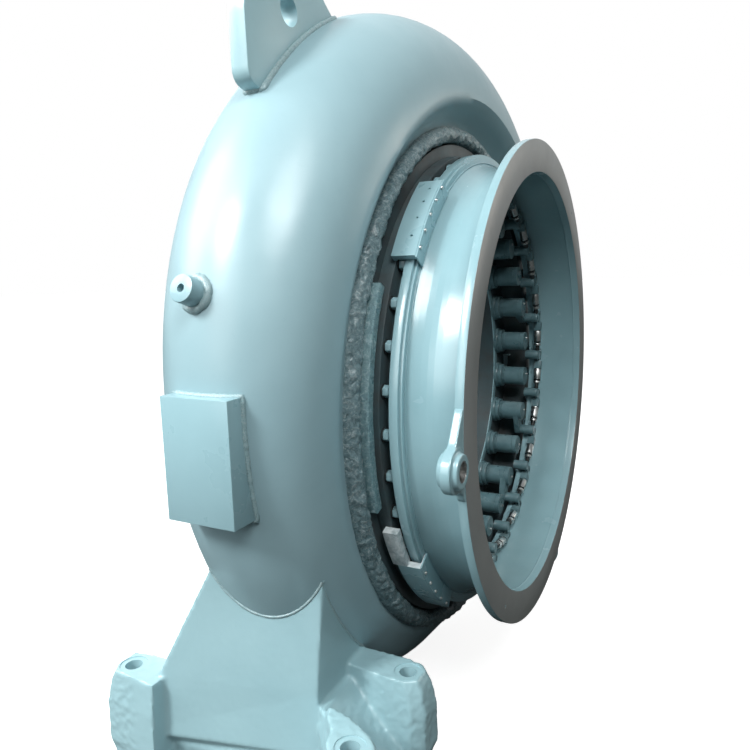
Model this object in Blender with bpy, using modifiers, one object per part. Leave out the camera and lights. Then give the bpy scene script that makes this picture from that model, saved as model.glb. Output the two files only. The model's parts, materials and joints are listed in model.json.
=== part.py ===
"""Spiral casing, covers and guide vane gear of a horizontal Francis turbine, in metres, +Z up.

The shaft lies along X. Every piece is modelled round the shaft axis, with X = 0 on the front face
of the regulating ring, +Y towards the inlet pipe and +Z up, and hangs on the empty shaft_frame.
That empty stands AXIS_HEIGHT over the floor that the foot and the inlet flange rest on. Angles
round the shaft are in degrees: 0 is +Y, the inlet side, 90 the top and 180 the foot side.
"""

import math

import bmesh
import bpy
from mathutils import Matrix, Vector

GAP = 0.0003
AXIS_HEIGHT = 0.931
ORIGIN_SHIFT = (0.42295, -0.085175)
TURNED_SIDES = 48

# Distributor: the channel with the guide vanes, between the two covers
CHANNEL_FRONT = -0.4102
CHANNEL_REAR = -0.5222
CHANNEL_RADIUS = 0.644
THROAT_RADIUS = 0.5597
VANE_COUNT = 24
VANE_PITCH = 360 / VANE_COUNT
FIRST_VANE_ANGLE = 52.5
STEM_CIRCLE = 0.5152

# Spiral casing: the centre of each section lies CENTRE_OFFSET + CENTRE_GROWTH * section radius out
SPIRAL_X = -0.466
CENTRE_OFFSET = 0.555
CENTRE_GROWTH = 0.95
SPIRAL_SECTIONS = ((342, 0.140), (315, 0.158), (270, 0.178), (225, 0.197), (180, 0.218),
                   (135, 0.249), (90, 0.275), (45, 0.288), (0, 0.293))
SPIRAL_STEP = 9
SPIRAL_SIDES = 28
SKIRT_EDGE = (-0.252, 0.802)
SKIRT_SLOPE = 0.78
SKIRT_TUCK = 0.0025
PIPE_SIDES = 24
INLET_RADIUS = 0.293
INLET_BORE = 0.277
FLANGE_RADIUS = 0.345
FLANGE_THICKNESS = 0.036
SOCKET_X = -0.480
SOCKET_ANGLE = 162.0
SOCKET_TOP = 1.048
SOCKET_FOOT = 0.965
SOCKET_RADIUS = 0.0295
SOCKET_BORE = 0.009
SOCKET_DEPTH = 0.06

# Machined seats of the casing, and the rough bead round the front one
SEAT_FRONT = -0.2471
SEAT_RADIUS = 0.7035
BEAD_PROFILE = ((-0.238, 0.708), (-0.2325, 0.725), (-0.232, 0.745), (-0.236, 0.765), (-0.243, 0.785))
BEAD_REAR = -0.430
FRONT_SPIGOT_RADIUS = 0.6332
FRONT_SPIGOT_REAR = -0.3147
REAR_SEAT = -0.6157
REAR_SPIGOT_RADIUS = 0.665
REAR_COLLAR_RADIUS = 0.742
REAR_COLLAR_REAR = -0.651

# Head cover on the ring side
COVER_RADIUS = 0.700
COVER_FRONT = -0.2079
COVER_WELL_RADIUS = 0.609
COVER_PLATE_FRONT = -0.294
COVER_BORE = 0.4725
COVER_RIM_RADIUS = 0.6755
COVER_RIM_STEPS = 26
COVER_RIM_CUTS = {"rim_cut_top": (25, 155), "rim_cut_bottom": (205, 335)}
SLEEVE_RADIUS = 0.042
SLEEVE_FRONT = -0.2674

# Rear cover with the draft tube flange
REAR_BORE = 0.448
REAR_NECK_RADIUS = 0.476
DRAFT_FLANGE_RADIUS = 0.560
DRAFT_FLANGE_FRONT = -0.784
DRAFT_FACE = -0.812

# Guide vane: disc, hub, lever, stem and blade on one axis
STEM_RADIUS = 0.026
HUB_RADIUS = 0.034
HUB_FRONT = -0.1831
LEVER_FRONT = -0.1939
LEVER_REAR = -0.2135
LEVER_TIP_RADIUS = 0.0195
LEVER_PIN_CIRCLE = 0.560
LEVER_PIN_LAG = -6.5
STEM_END = -0.420
STEM_SIDES = 10
BLADE_NOSE = 0.055
BLADE_NOSE_RADIUS = 0.008
BLADE_TAIL = 0.082
BLADE_TAIL_RADIUS = 0.003
BLADE_MIDDLE_RADIUS = 0.016
BLADE_OPENING = 31

# Link from the regulating ring to a lever
RING_PIN_CIRCLE = 0.5971
RING_PIN_LEAD = 9.2
RING_EYE_RADIUS = 0.0105
LEVER_EYE_RADIUS = 0.017
LINK_FRONT = -0.1435
ROD_X = -0.152
FORK_RADIUS = 0.0085
FORK_LENGTH = 0.045
SLEEVE_NUT_RADIUS = 0.0135

# Regulating ring
RING_RADIUS = 0.700
RING_TUBE_INNER = 0.612
RING_TUBE_OUTER = 0.625
RING_FLANGE_THICKNESS = 0.021
WEB_FRONT = -0.168
WEB_REAR = -0.1885
WEB_INNER = 0.589
RIM_FRONT = -0.1665
RIM_INNER = 0.6445
RIM_OUTER = 0.674
RIM_TAPER = -0.100
EAR_CENTRE = (-0.7385, -0.0693)
EAR_RADIUS = 0.050
EAR_BORE = 0.0238
EAR_FRONT = 0.0126
EAR_REAR = -0.0336

# Ring retainers on the head cover
RETAINER_SPANS = {"ring_retainer_top_near": (126, 147), "ring_retainer_bottom_near": (213, 234),
                  "ring_retainer_top_far": (33, 54), "ring_retainer_bottom_far": (306, 327)}
RETAINER_STEPS = 5
RETAINER_OUTER = 0.6965
RETAINER_REAR = -0.243
RETAINER_WALL_INNER = 0.6805
RETAINER_LIP_INNER = 0.651
RETAINER_FRONT = -0.1484

# Foot, its bolt bosses, the pad and the lifting lugs
FOOT_BACK = -0.602
BOSS_TOP = 0.322
FOOT_LEVELS = ((0.620, ((-0.298, -0.801), (-0.555, -0.871), (-0.580, FOOT_BACK), (-0.298, FOOT_BACK))),
               (BOSS_TOP, ((-0.309, -0.828), (-0.701, -0.933), (-0.722, FOOT_BACK), (-0.309, FOOT_BACK))),
               (0.175, ((-0.305, -0.842), (-0.755, -0.955), (-0.782, FOOT_BACK), (-0.305, FOOT_BACK))),
               (0.140, ((-0.270, -0.850), (-0.748, -0.925), (-0.782, FOOT_BACK), (-0.270, FOOT_BACK))),
               (0.000, ((-0.252, -0.880), (-0.748, -0.896), (-0.782, -0.616), (-0.252, -0.616))))
LEDGE_LEVELS = ((BOSS_TOP, 0, 0), (0.293, 0.015, 0.003), (0.241, 0.025, 0.008), (0.140, 0.025, 0.012),
                (0.107, 0.012, 0.008), (0, 0.012, 0.008))
BOSS_BORE = 0.021
BOSSES = {"front_left": (-0.7945, -0.917), "front_right": (-0.160, -0.9436),
          "back_right": (-0.160, -0.658), "back_left": (-0.7945, -0.658)}
LEDGES = {"front_left": ((0.112, -0.049), (0.0285, -0.043), (-0.0205, -0.040), (-0.0375, -0.010),
                         (-0.0375, 0.042), (0.0125, 0.052), (0.112, 0.054)),
          "front_right": ((-0.150, 0.030), (-0.150, 0.004), (-0.060, -0.040), (-0.022, -0.050),
                          (0.022, -0.048), (0.046, -0.020), (0.046, 0.020), (0.020, 0.048), (-0.060, 0.058),
                          (-0.150, 0.060)),
          "back_right": ((-0.150, -0.033), (-0.044, -0.043), (0.006, -0.046), (0.035, -0.027),
                         (0.038, 0.021), (0.019, 0.043), (-0.036, 0.052), (-0.150, 0.048)),
          "back_left": ((0.150, 0.048), (0.036, 0.052), (-0.019, 0.043), (-0.038, 0.021),
                        (-0.035, -0.027), (-0.006, -0.046), (0.044, -0.043), (0.150, -0.033))}
LUG_FRONT = -0.455
LUG_REAR = -0.5005
LUG_HOLE = (-0.605, 0.9485)
LUG_HOLE_RADIUS = 0.035
FAR_LUG_SHIFT = (0.03, 0.052)
LUG_OUTLINE = ((-0.772, 0.760), (-0.775, 0.925), (-0.745, 0.975), (-0.690, 1.020), (-0.560, 1.068),
               (-0.490, 1.064), (-0.452, 1.026), (-0.388, 0.985), (-0.480, 0.860), (-0.650, 0.730))
PAD_X = (-0.546, -0.371)
PAD_Z = (-0.161, 0.105)
PAD_FACE = -1.008
PAD_BACK = -0.950

ALONG_SHAFT = Matrix.Rotation(math.radians(90), 4, "Y")
PAINT = (0.42, 0.50, 0.51)
MACHINED = (0.55, 0.54, 0.52)
ZINC = (0.72, 0.73, 0.72)


def clear_scene():
    """Remove every object of the open scene."""
    for old in list(bpy.data.objects):
        bpy.data.objects.remove(old, do_unlink=True)


def new_collection(name):
    """Make a collection in the scene."""
    made = bpy.data.collections.new(name)
    bpy.context.scene.collection.children.link(made)
    return made


def finish(name, colour, roughness, metallic):
    """Make a plain Principled material."""
    material = bpy.data.materials.new(name)
    material.use_nodes = True
    shader = material.node_tree.nodes["Principled BSDF"]
    shader.inputs["Base Color"].default_value = (*colour, 1)
    shader.inputs["Roughness"].default_value = roughness
    shader.inputs["Metallic"].default_value = metallic
    return material


def polar(radius, degrees, x=0.0):
    """Give the point at a radius and an angle round the shaft."""
    turn = math.radians(degrees)
    return Vector((x, radius * math.cos(turn), radius * math.sin(turn)))


def place(piece, collection):
    """Link a piece to its collection and hang it on the shaft frame."""
    collection.objects.link(piece)
    piece.parent = bpy.data.objects["shaft_frame"]
    return piece


def part(name, mesh, material):
    """Make a visible piece from a mesh."""
    piece = place(bpy.data.objects.new(name, mesh), PARTS)
    mesh.materials.clear()
    mesh.materials.append(material)
    mesh.shade_smooth()
    mesh.set_sharp_from_angle(angle=math.radians(30))
    return piece


def guide(name, mesh):
    """Make a hidden solid that another piece is cut by or joined with."""
    piece = place(bpy.data.objects.new(name, mesh), GUIDES)
    piece.hide_render = True
    piece.display_type = "WIRE"
    return piece


def join(piece, other, operation="UNION"):
    """Add a Boolean modifier, a union unless told otherwise."""
    boolean = piece.modifiers.new(other.name, "BOOLEAN")
    boolean.operation = operation
    boolean.object = other
    boolean.solver = "EXACT"
    return piece


def cut(piece, other):
    """Cut a piece by a guide."""
    return join(piece, other, "DIFFERENCE")


def evaluated_mesh(piece, name):
    """Give a piece's mesh with its modifiers, and remove the piece."""
    bpy.context.view_layer.update()
    shape = piece.evaluated_get(bpy.context.evaluated_depsgraph_get())
    mesh = bpy.data.meshes.new_from_object(shape)
    mesh.name = name
    bpy.data.objects.remove(piece, do_unlink=True)
    return mesh


def turned_mesh(name, profile, sides=TURNED_SIDES):
    """Turn a profile of (x, radius) points round the shaft.

    The points run from the front to the rear on the outer side. A profile that starts and ends
    at radius 0 is solid, and any other one closes on itself as a ring. Angle 0 is in the middle
    of a side, which keeps the corners off the stations of the spiral.
    """
    mesh = bpy.data.meshes.new(name)
    flat = bmesh.new()
    points = [flat.verts.new((radius, 0, x)) for x, radius in profile]
    for first, second in zip(points, points[1:]):
        flat.edges.new((first, second))
    if profile[0][1] > 0:
        flat.edges.new((points[-1], points[0]))
    flat.to_mesh(mesh)
    flat.free()
    lathe = bpy.data.objects.new(name, mesh)
    bpy.context.scene.collection.objects.link(lathe)
    screw = lathe.modifiers.new("turn", "SCREW")
    screw.axis = "Z"
    screw.steps = screw.render_steps = sides
    screw.use_merge_vertices = True
    screw.merge_threshold = 0.00001
    made = evaluated_mesh(lathe, name)
    made.transform(Matrix.Rotation(math.pi / sides, 4, "X") @ ALONG_SHAFT)
    return made


def round_bars(name, centres, radius, x_front, x_rear, sides=STEM_SIDES):
    """Make cylinders of one radius, with their centres given as (y, z) and their ends in X."""
    solid = bmesh.new()
    for y, z in centres:
        middle = Vector(((x_front + x_rear) / 2, y, z))
        bmesh.ops.create_cone(solid, cap_ends=True, segments=sides, radius1=radius, radius2=radius,
                              depth=x_front - x_rear, matrix=Matrix.Translation(middle) @ ALONG_SHAFT)
    mesh = bpy.data.meshes.new(name)
    solid.to_mesh(mesh)
    solid.free()
    return mesh


def upright(name, x, y, z_low, z_high, radius_low, radius_high, sides=16):
    """Make an upright cylinder or cone, with its ends given as heights over the floor."""
    solid = bmesh.new()
    middle = Vector((x, y, (z_low + z_high) / 2 - AXIS_HEIGHT))
    bmesh.ops.create_cone(solid, cap_ends=True, segments=sides, radius1=radius_low, radius2=radius_high,
                          depth=z_high - z_low, matrix=Matrix.Translation(middle))
    mesh = bpy.data.meshes.new(name)
    solid.to_mesh(mesh)
    solid.free()
    return mesh


def tapered_block(name, low, high):
    """Make a block between two level rectangles, each (x0, x1, y0, y1, height over the floor)."""
    solid = bmesh.new()
    bmesh.ops.create_cube(solid, size=2)
    for corner in solid.verts:
        x0, x1, y0, y1, height = high if corner.co.z > 0 else low
        corner.co = (x1 if corner.co.x > 0 else x0, y1 if corner.co.y > 0 else y0, height - AXIS_HEIGHT)
    mesh = bpy.data.meshes.new(name)
    solid.to_mesh(mesh)
    solid.free()
    return mesh


def stacked_mesh(name, levels):
    """Make a solid through level outlines of (x, y) points, each with its height over the floor."""
    solid = bmesh.new()
    loops = []
    for height, outline in levels:
        corners = [solid.verts.new((x, y, height - AXIS_HEIGHT)) for x, y in outline]
        loops.append([solid.edges.new(pair) for pair in zip(corners, corners[1:] + corners[:1])])
    for upper, lower in zip(loops, loops[1:]):
        bmesh.ops.bridge_loops(solid, edges=upper + lower)
    bmesh.ops.holes_fill(solid, edges=loops[0] + loops[-1])
    bmesh.ops.triangulate(solid, faces=solid.faces)
    bmesh.ops.recalc_face_normals(solid, faces=solid.faces)
    mesh = bpy.data.meshes.new(name)
    solid.to_mesh(mesh)
    solid.free()
    return mesh


def plate(name, outline, x_front, x_rear):
    """Make a flat plate across the shaft from an outline of (y, z) points."""
    flat = bpy.data.curves.new(name, "CURVE")
    flat.dimensions = "2D"
    flat.fill_mode = "BOTH"
    flat.extrude = (x_front - x_rear) / 2
    edge = flat.splines.new("POLY")
    edge.points.add(len(outline) - 1)
    for point, (y, z) in zip(edge.points, outline):
        point.co = (y, z, 0, 1)
    edge.use_cyclic_u = True
    drawn = bpy.data.objects.new(name, flat)
    bpy.context.scene.collection.objects.link(drawn)
    made = evaluated_mesh(drawn, name)
    made.transform(Matrix(((0, 0, 1, (x_front + x_rear) / 2), (1, 0, 0, 0), (0, 1, 0, 0), (0, 0, 0, 1))))
    return welded(made)


def welded(mesh):
    """Close the seams of a mesh that was made from a curve."""
    solid = bmesh.new()
    solid.from_mesh(mesh)
    bmesh.ops.remove_doubles(solid, verts=solid.verts, dist=0.00001)
    bmesh.ops.recalc_face_normals(solid, faces=solid.faces)
    solid.to_mesh(mesh)
    solid.free()
    return mesh


def rounded_bar(start, end, radius_start, radius_end, arc=4):
    """Give the outline round two circles and the straight sides between them."""
    start, end = Vector(start), Vector(end)
    heading = math.atan2(end.y - start.y, end.x - start.x)
    lean = math.acos((radius_start - radius_end) / (end - start).length)
    outline = []
    for centre, radius, first, last in ((end, radius_end, -lean, lean),
                                        (start, radius_start, lean, 2 * math.pi - lean)):
        for step in range(arc + 1):
            turn = heading + first + (last - first) * step / arc
            outline.append((centre.x + radius * math.cos(turn), centre.y + radius * math.sin(turn)))
    return outline


def section_radius(degrees):
    """Give the spiral's section radius at an angle, eased between the named sections."""
    for (high, start), (low, end) in zip(SPIRAL_SECTIONS, SPIRAL_SECTIONS[1:]):
        if degrees >= low:
            share = (high - degrees) / (high - low)
            return start + (end - start) * share
    return SPIRAL_SECTIONS[-1][1]


def section_outline(radius, growth):
    """Give one section of the spiral as (x, distance from the shaft) points.

    The section is a circle. On the front it runs on straight to the bead where it is small, and
    where it is large it is hollowed so that the bead stays clear.
    """
    centre = CENTRE_OFFSET + CENTRE_GROWTH * radius
    front, rim = (place - SKIRT_TUCK + growth for place in SKIRT_EDGE)
    edge_x, edge_out = front - SPIRAL_X, rim - centre
    edge_reach, edge_turn = math.hypot(edge_x, edge_out), math.atan2(edge_out, edge_x)
    round_reach = radius + growth
    tangent_turn = edge_turn
    if edge_reach > round_reach:
        tangent_turn += math.acos(round_reach / edge_reach)
    outline = []
    for step in range(SPIRAL_SIDES):
        turn = 2 * math.pi * (step + 0.5) / SPIRAL_SIDES
        reach = round_reach
        if edge_turn <= turn < tangent_turn:
            reach = round_reach / math.cos(tangent_turn - turn)
        x, out = SPIRAL_X + reach * math.cos(turn), centre + reach * math.sin(turn)
        outline.append((min(x, front + SKIRT_SLOPE * max(out - rim, 0)), out))
    return outline


def spiral_mesh(name, growth=0.0):
    """Make the spiral as one tube, from the tongue round to the inlet side at the shaft's level."""
    solid = bmesh.new()
    loops = []
    for degrees in range(SPIRAL_SECTIONS[0][0], -1, -SPIRAL_STEP):
        section = section_outline(section_radius(degrees), growth)
        corners = [solid.verts.new(polar(out, degrees, x)) for x, out in section]
        loops.append([solid.edges.new(pair) for pair in zip(corners, corners[1:] + corners[:1])])
    for upper, lower in zip(loops, loops[1:]):
        bmesh.ops.bridge_loops(solid, edges=upper + lower)
    bmesh.ops.holes_fill(solid, edges=loops[0] + loops[-1])
    bmesh.ops.triangulate(solid, faces=solid.faces)
    bmesh.ops.recalc_face_normals(solid, faces=solid.faces)
    mesh = bpy.data.meshes.new(name)
    solid.to_mesh(mesh)
    solid.free()
    return mesh


def collar_profiles(growth=0.0):
    """Give the front collar with its bead and the rear collar as (x, radius) profiles."""
    rim = [(x + growth, radius) for x, radius in BEAD_PROFILE]
    front = ((rim[0][0], 0.600), *rim,
             (SKIRT_EDGE[0] + growth, SKIRT_EDGE[1] + growth), (BEAD_REAR, SKIRT_EDGE[1] + growth),
             (BEAD_REAR, 0.600))
    rear = ((-0.510, REAR_COLLAR_RADIUS + growth), (REAR_COLLAR_REAR - growth, REAR_COLLAR_RADIUS + growth),
            (REAR_COLLAR_REAR - growth, 0.600), (-0.510, 0.600))
    return front, rear


def inlet_centre():
    """Give the Y of the inlet pipe's axis."""
    return CENTRE_OFFSET + CENTRE_GROWTH * INLET_RADIUS


def build_casing(paint):
    """Build the spiral casing with its collars, bead, socket boss and far lifting lug."""
    casing = part("spiral_casing", spiral_mesh("spiral_casing"), paint)
    far_outline = [(FAR_LUG_SHIFT[0] - y, FAR_LUG_SHIFT[1] + z) for y, z in LUG_OUTLINE]
    for mesh in (socket_boss_mesh(), plate("far_lug", far_outline, LUG_FRONT, LUG_REAR)):
        join(casing, guide(mesh.name, mesh))
    cut(casing, guide("socket_bore", radial_cone("socket_bore", SOCKET_TOP + 0.01, SOCKET_TOP - SOCKET_DEPTH,
                                                 SOCKET_BORE, SOCKET_BORE)))
    far_centre = (FAR_LUG_SHIFT[0] - LUG_HOLE[0], FAR_LUG_SHIFT[1] + LUG_HOLE[1])
    far_hole = round_bars("far_lug_hole", [far_centre], LUG_HOLE_RADIUS, -0.40, -0.56)
    cut(casing, guide("far_lug_hole", far_hole))
    for name, profile in zip(("front_collar", "rear_collar"), collar_profiles()):
        join(casing, guide(name, turned_mesh(name, profile)))
    bore = ((0.05, 0), (0.05, SEAT_RADIUS), (SEAT_FRONT, SEAT_RADIUS),
            (SEAT_FRONT, FRONT_SPIGOT_RADIUS + GAP),
            (FRONT_SPIGOT_REAR - GAP, FRONT_SPIGOT_RADIUS + GAP),
            (FRONT_SPIGOT_REAR - GAP, THROAT_RADIUS + GAP), (CHANNEL_FRONT, THROAT_RADIUS + GAP),
            (CHANNEL_FRONT, CHANNEL_RADIUS), (CHANNEL_REAR, CHANNEL_RADIUS),
            (CHANNEL_REAR, THROAT_RADIUS + GAP), (REAR_SEAT + GAP, THROAT_RADIUS + GAP),
            (REAR_SEAT + GAP, REAR_SPIGOT_RADIUS + GAP), (-0.95, REAR_SPIGOT_RADIUS + GAP), (-0.95, 0))
    cut(casing, guide("casing_bore", turned_mesh("casing_bore", bore)))


def radial_cone(name, r_outer, r_inner, radius_outer, radius_inner):
    """Make a cone along the socket boss's own radius."""
    solid = bmesh.new()
    outward = polar(1, SOCKET_ANGLE)
    turn = Vector((0, 0, 1)).rotation_difference(outward).to_matrix().to_4x4()
    middle = polar((r_outer + r_inner) / 2, SOCKET_ANGLE, SOCKET_X)
    bmesh.ops.create_cone(solid, cap_ends=True, segments=12, radius1=radius_inner, radius2=radius_outer,
                          depth=r_outer - r_inner, matrix=Matrix.Translation(middle) @ turn)
    mesh = bpy.data.meshes.new(name)
    solid.to_mesh(mesh)
    solid.free()
    return mesh


def socket_boss_mesh():
    """Make the round socket boss on the near upper side of the spiral."""
    return radial_cone("socket_boss", SOCKET_TOP, SOCKET_FOOT, SOCKET_RADIUS, SOCKET_RADIUS + 0.003)


def build_inlet_pipe(paint):
    """Build the hollow pipe that runs down from the spiral's large end, with its flange."""
    disc = upright("inlet_pipe", SPIRAL_X, inlet_centre(), 0, FLANGE_THICKNESS,
                   FLANGE_RADIUS, FLANGE_RADIUS, PIPE_SIDES)
    pipe = part("inlet_pipe", disc, paint)
    join(pipe, guide("pipe_wall", upright("pipe_wall", SPIRAL_X, inlet_centre(), 0, AXIS_HEIGHT - GAP,
                                          INLET_RADIUS, INLET_RADIUS, PIPE_SIDES)))
    cut(pipe, guide("pipe_bore", upright("pipe_bore", SPIRAL_X, inlet_centre(), -0.05, AXIS_HEIGHT + 0.05,
                                         INLET_BORE, INLET_BORE, PIPE_SIDES)))
    edge_x, edge_out = SKIRT_EDGE[0] + GAP, SKIRT_EDGE[1] + GAP
    drum = ((0.05, 0), (0.05, edge_out + (0.05 - edge_x) / SKIRT_SLOPE), (edge_x, edge_out),
            (REAR_COLLAR_REAR - GAP, edge_out), (REAR_COLLAR_REAR - GAP, 0))
    cut(pipe, guide("pipe_drum", turned_mesh("pipe_drum", drum)))
    cut(pipe, guide("pipe_tongue", spiral_mesh("pipe_tongue", GAP)))


def ledge_mesh(name, side):
    """Make the bolt ledge of one corner of the foot, wider below its top."""
    x, y = BOSSES[side]
    outward = -1 if side.endswith("left") else 1
    levels = []
    for height, flare, spread in LEDGE_LEVELS:
        outline = [(x + along + outward * flare * (along * outward > 0),
                    y + across + math.copysign(spread, across)) for along, across in LEDGES[side]]
        levels.append((height, outline))
    return stacked_mesh(name, levels)


def build_foot(paint):
    """Build the foot on the near side, with its base block and four foundation bolt bosses."""
    foot = part("support_foot", stacked_mesh("support_foot", FOOT_LEVELS), paint)
    for side in BOSSES:
        join(foot, guide("ledge_" + side, ledge_mesh("ledge_" + side, side)))
    cut(foot, guide("foot_spiral", spiral_mesh("foot_spiral", GAP)))
    for name, profile in zip(("foot_front_collar", "foot_rear_collar"), collar_profiles(GAP)):
        cut(foot, guide(name, turned_mesh(name, profile)))
    for side, (x, y) in BOSSES.items():
        cut(foot, guide("bolt_" + side, upright("bolt_" + side, x, y, -0.05, BOSS_TOP + 0.05,
                                                BOSS_BORE, BOSS_BORE, 12)))


def build_lug(paint):
    """Build the lifting lug that stands on the near shoulder of the spiral."""
    lug = part("lifting_lug", plate("lifting_lug", LUG_OUTLINE, LUG_FRONT, LUG_REAR), paint)
    hole = round_bars("lug_hole", [LUG_HOLE], LUG_HOLE_RADIUS, -0.40, -0.56)
    cut(lug, guide("lug_hole", hole))
    cut(lug, guide("lug_spiral", spiral_mesh("lug_spiral", GAP)))


def build_pad(paint):
    """Build the flat machined pad on the near side of the spiral."""
    face = (*PAD_X, PAD_FACE, PAD_BACK)
    pad = part("side_pad", tapered_block("side_pad", low=(*face, PAD_Z[0] + AXIS_HEIGHT),
                                         high=(*face, PAD_Z[1] + AXIS_HEIGHT)), paint)
    cut(pad, guide("pad_spiral", spiral_mesh("pad_spiral", GAP)))


def vane_angle(index):
    """Give the angle of a guide vane's stem round the shaft."""
    return FIRST_VANE_ANGLE - VANE_PITCH * index


def stem_centres():
    """Give the (y, z) centres of all stems."""
    return [polar(STEM_CIRCLE, vane_angle(index)).yz for index in range(VANE_COUNT)]


def build_head_cover(paint):
    """Build the head cover with its well, its stem sleeves and its running holes."""
    profile = ((COVER_FRONT, COVER_RADIUS), (SEAT_FRONT + GAP, COVER_RADIUS),
               (SEAT_FRONT + GAP, FRONT_SPIGOT_RADIUS), (FRONT_SPIGOT_REAR, FRONT_SPIGOT_RADIUS),
               (FRONT_SPIGOT_REAR, THROAT_RADIUS), (CHANNEL_FRONT, THROAT_RADIUS),
               (CHANNEL_FRONT, COVER_BORE), (COVER_PLATE_FRONT, COVER_BORE),
               (COVER_PLATE_FRONT, COVER_WELL_RADIUS), (COVER_FRONT, COVER_WELL_RADIUS))
    cover = part("head_cover", turned_mesh("head_cover", profile), paint)
    join(cover, guide("stem_sleeves", round_bars("stem_sleeves", stem_centres(), SLEEVE_RADIUS,
                                                 SLEEVE_FRONT, COVER_PLATE_FRONT - 0.004)))
    notch = ((COVER_FRONT + 0.02, COVER_RIM_RADIUS), (COVER_FRONT + 0.02, COVER_RADIUS + 0.03),
             (SEAT_FRONT - 0.01, COVER_RADIUS + 0.03), (SEAT_FRONT - 0.01, COVER_RIM_RADIUS))
    for name, (start, end) in COVER_RIM_CUTS.items():
        cut(cover, guide(name, arc_mesh(name, notch, start, end, COVER_RIM_STEPS)))
    stem_hole = (STEM_RADIUS + GAP) / math.cos(math.pi / STEM_SIDES)
    cut(cover, guide("stem_holes", round_bars("stem_holes", stem_centres(), stem_hole, -0.20, -0.45)))


def build_rear_cover(paint):
    """Build the rear cover with its neck and the draft tube flange."""
    profile = ((CHANNEL_REAR, THROAT_RADIUS), (REAR_SEAT, THROAT_RADIUS), (REAR_SEAT, REAR_SPIGOT_RADIUS),
               (REAR_COLLAR_REAR, REAR_SPIGOT_RADIUS), (REAR_COLLAR_REAR, REAR_NECK_RADIUS),
               (DRAFT_FLANGE_FRONT, REAR_NECK_RADIUS), (DRAFT_FLANGE_FRONT, DRAFT_FLANGE_RADIUS),
               (DRAFT_FACE, DRAFT_FLANGE_RADIUS), (DRAFT_FACE, REAR_BORE), (CHANNEL_REAR, REAR_BORE))
    part("rear_cover", turned_mesh("rear_cover", profile), paint)


def lever_pin():
    """Give the lever's pin from the stem's axis, as (outward, round the shaft) distances."""
    pin = polar(LEVER_PIN_CIRCLE, LEVER_PIN_LAG)
    return pin.y - STEM_CIRCLE, pin.z


def vane_mesh():
    """Make one guide vane with its disc, hub, lever, stem and blade, on its own axis."""
    profile = ((HUB_FRONT, 0), (HUB_FRONT, HUB_RADIUS), (SLEEVE_FRONT + GAP, HUB_RADIUS),
               (SLEEVE_FRONT + GAP, STEM_RADIUS), (STEM_END, STEM_RADIUS), (STEM_END, 0))
    vane = guide("vane_shape", turned_mesh("vane_shape", profile, sides=STEM_SIDES))
    lever = rounded_bar((0, 0), lever_pin(), HUB_RADIUS - 0.001, LEVER_TIP_RADIUS)
    join(vane, guide("lever", plate("lever", lever, LEVER_FRONT, LEVER_REAR)))
    blade = plate("blade", blade_outline(), CHANNEL_FRONT - GAP, CHANNEL_REAR + GAP)
    join(vane, guide("blade", blade))
    return evaluated_mesh(vane, "guide_vane")


def blade_outline():
    """Give the blade's outline: a round nose outside, full at the stem, a thin tail inside."""
    shape = [(-BLADE_NOSE + BLADE_NOSE_RADIUS * math.cos(math.radians(turn)),
              BLADE_NOSE_RADIUS * math.sin(math.radians(turn))) for turn in (100, 150, 210, 260)]
    lower = ((-0.010, -BLADE_MIDDLE_RADIUS), (0.020, 0.004 - BLADE_MIDDLE_RADIUS),
             (BLADE_TAIL, -BLADE_TAIL_RADIUS))
    shape += [*lower, *((along, -across) for along, across in reversed(lower))]
    turn = math.radians(90 + BLADE_OPENING)
    return [(along * math.cos(turn) - across * math.sin(turn),
             along * math.sin(turn) + across * math.cos(turn)) for along, across in shape]


def build_vanes(paint):
    """Build the guide vanes, each with its origin on its stem's axis."""
    mesh = vane_mesh()
    for index in range(VANE_COUNT):
        vane = part(f"guide_vane_{index + 1:02d}", mesh, paint)
        vane.location = polar(STEM_CIRCLE, vane_angle(index))
        vane.rotation_euler.x = math.radians(vane_angle(index))


def rod_mesh(name, radius, start, end):
    """Make an octagonal rod between two points beside the pins, on the rod's own level."""
    solid = bmesh.new()
    turn = Vector((0, 0, 1)).rotation_difference(end - start).to_matrix().to_4x4()
    middle = Matrix.Translation((start + end) / 2 + Vector((ROD_X, 0, 0)))
    bmesh.ops.create_cone(solid, cap_ends=True, segments=8, radius1=radius, radius2=radius,
                          depth=(end - start).length, matrix=middle @ turn)
    mesh = bpy.data.meshes.new(name)
    solid.to_mesh(mesh)
    solid.free()
    return mesh


def link_mesh():
    """Make one link with its two eyes and its rod, on the axis of its pin in the ring."""
    ring_pin = polar(RING_PIN_CIRCLE, RING_PIN_LEAD)
    reach = polar(LEVER_PIN_CIRCLE, LEVER_PIN_LAG) - ring_pin
    reach.rotate(Matrix.Rotation(math.radians(-RING_PIN_LEAD), 4, "X"))
    link = guide("link_shape", round_bars("ring_eye", [(0, 0)], RING_EYE_RADIUS,
                                          LINK_FRONT, WEB_FRONT + GAP, 8))
    lever_eye = round_bars("lever_eye", [(reach.y, reach.z)], LEVER_EYE_RADIUS,
                           LINK_FRONT, LEVER_FRONT + GAP, 8)
    join(link, guide("lever_eye", lever_eye))
    fork_end = FORK_LENGTH / reach.length
    for name, radius, start, end in (("link_fork", FORK_RADIUS, 0, fork_end),
                                     ("link_sleeve", SLEEVE_NUT_RADIUS, fork_end - 0.05, 0.95)):
        join(link, guide(name, rod_mesh(name, radius, reach * start, reach * end)))
    return evaluated_mesh(link, "link")


def build_links(zinc):
    """Build the links, each with its origin on its pin in the regulating ring."""
    mesh = link_mesh()
    for index in range(VANE_COUNT):
        angle = vane_angle(index) + RING_PIN_LEAD
        link = part(f"link_{index + 1:02d}", mesh, zinc)
        link.location = polar(RING_PIN_CIRCLE, angle)
        link.rotation_euler.x = math.radians(angle)


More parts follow.
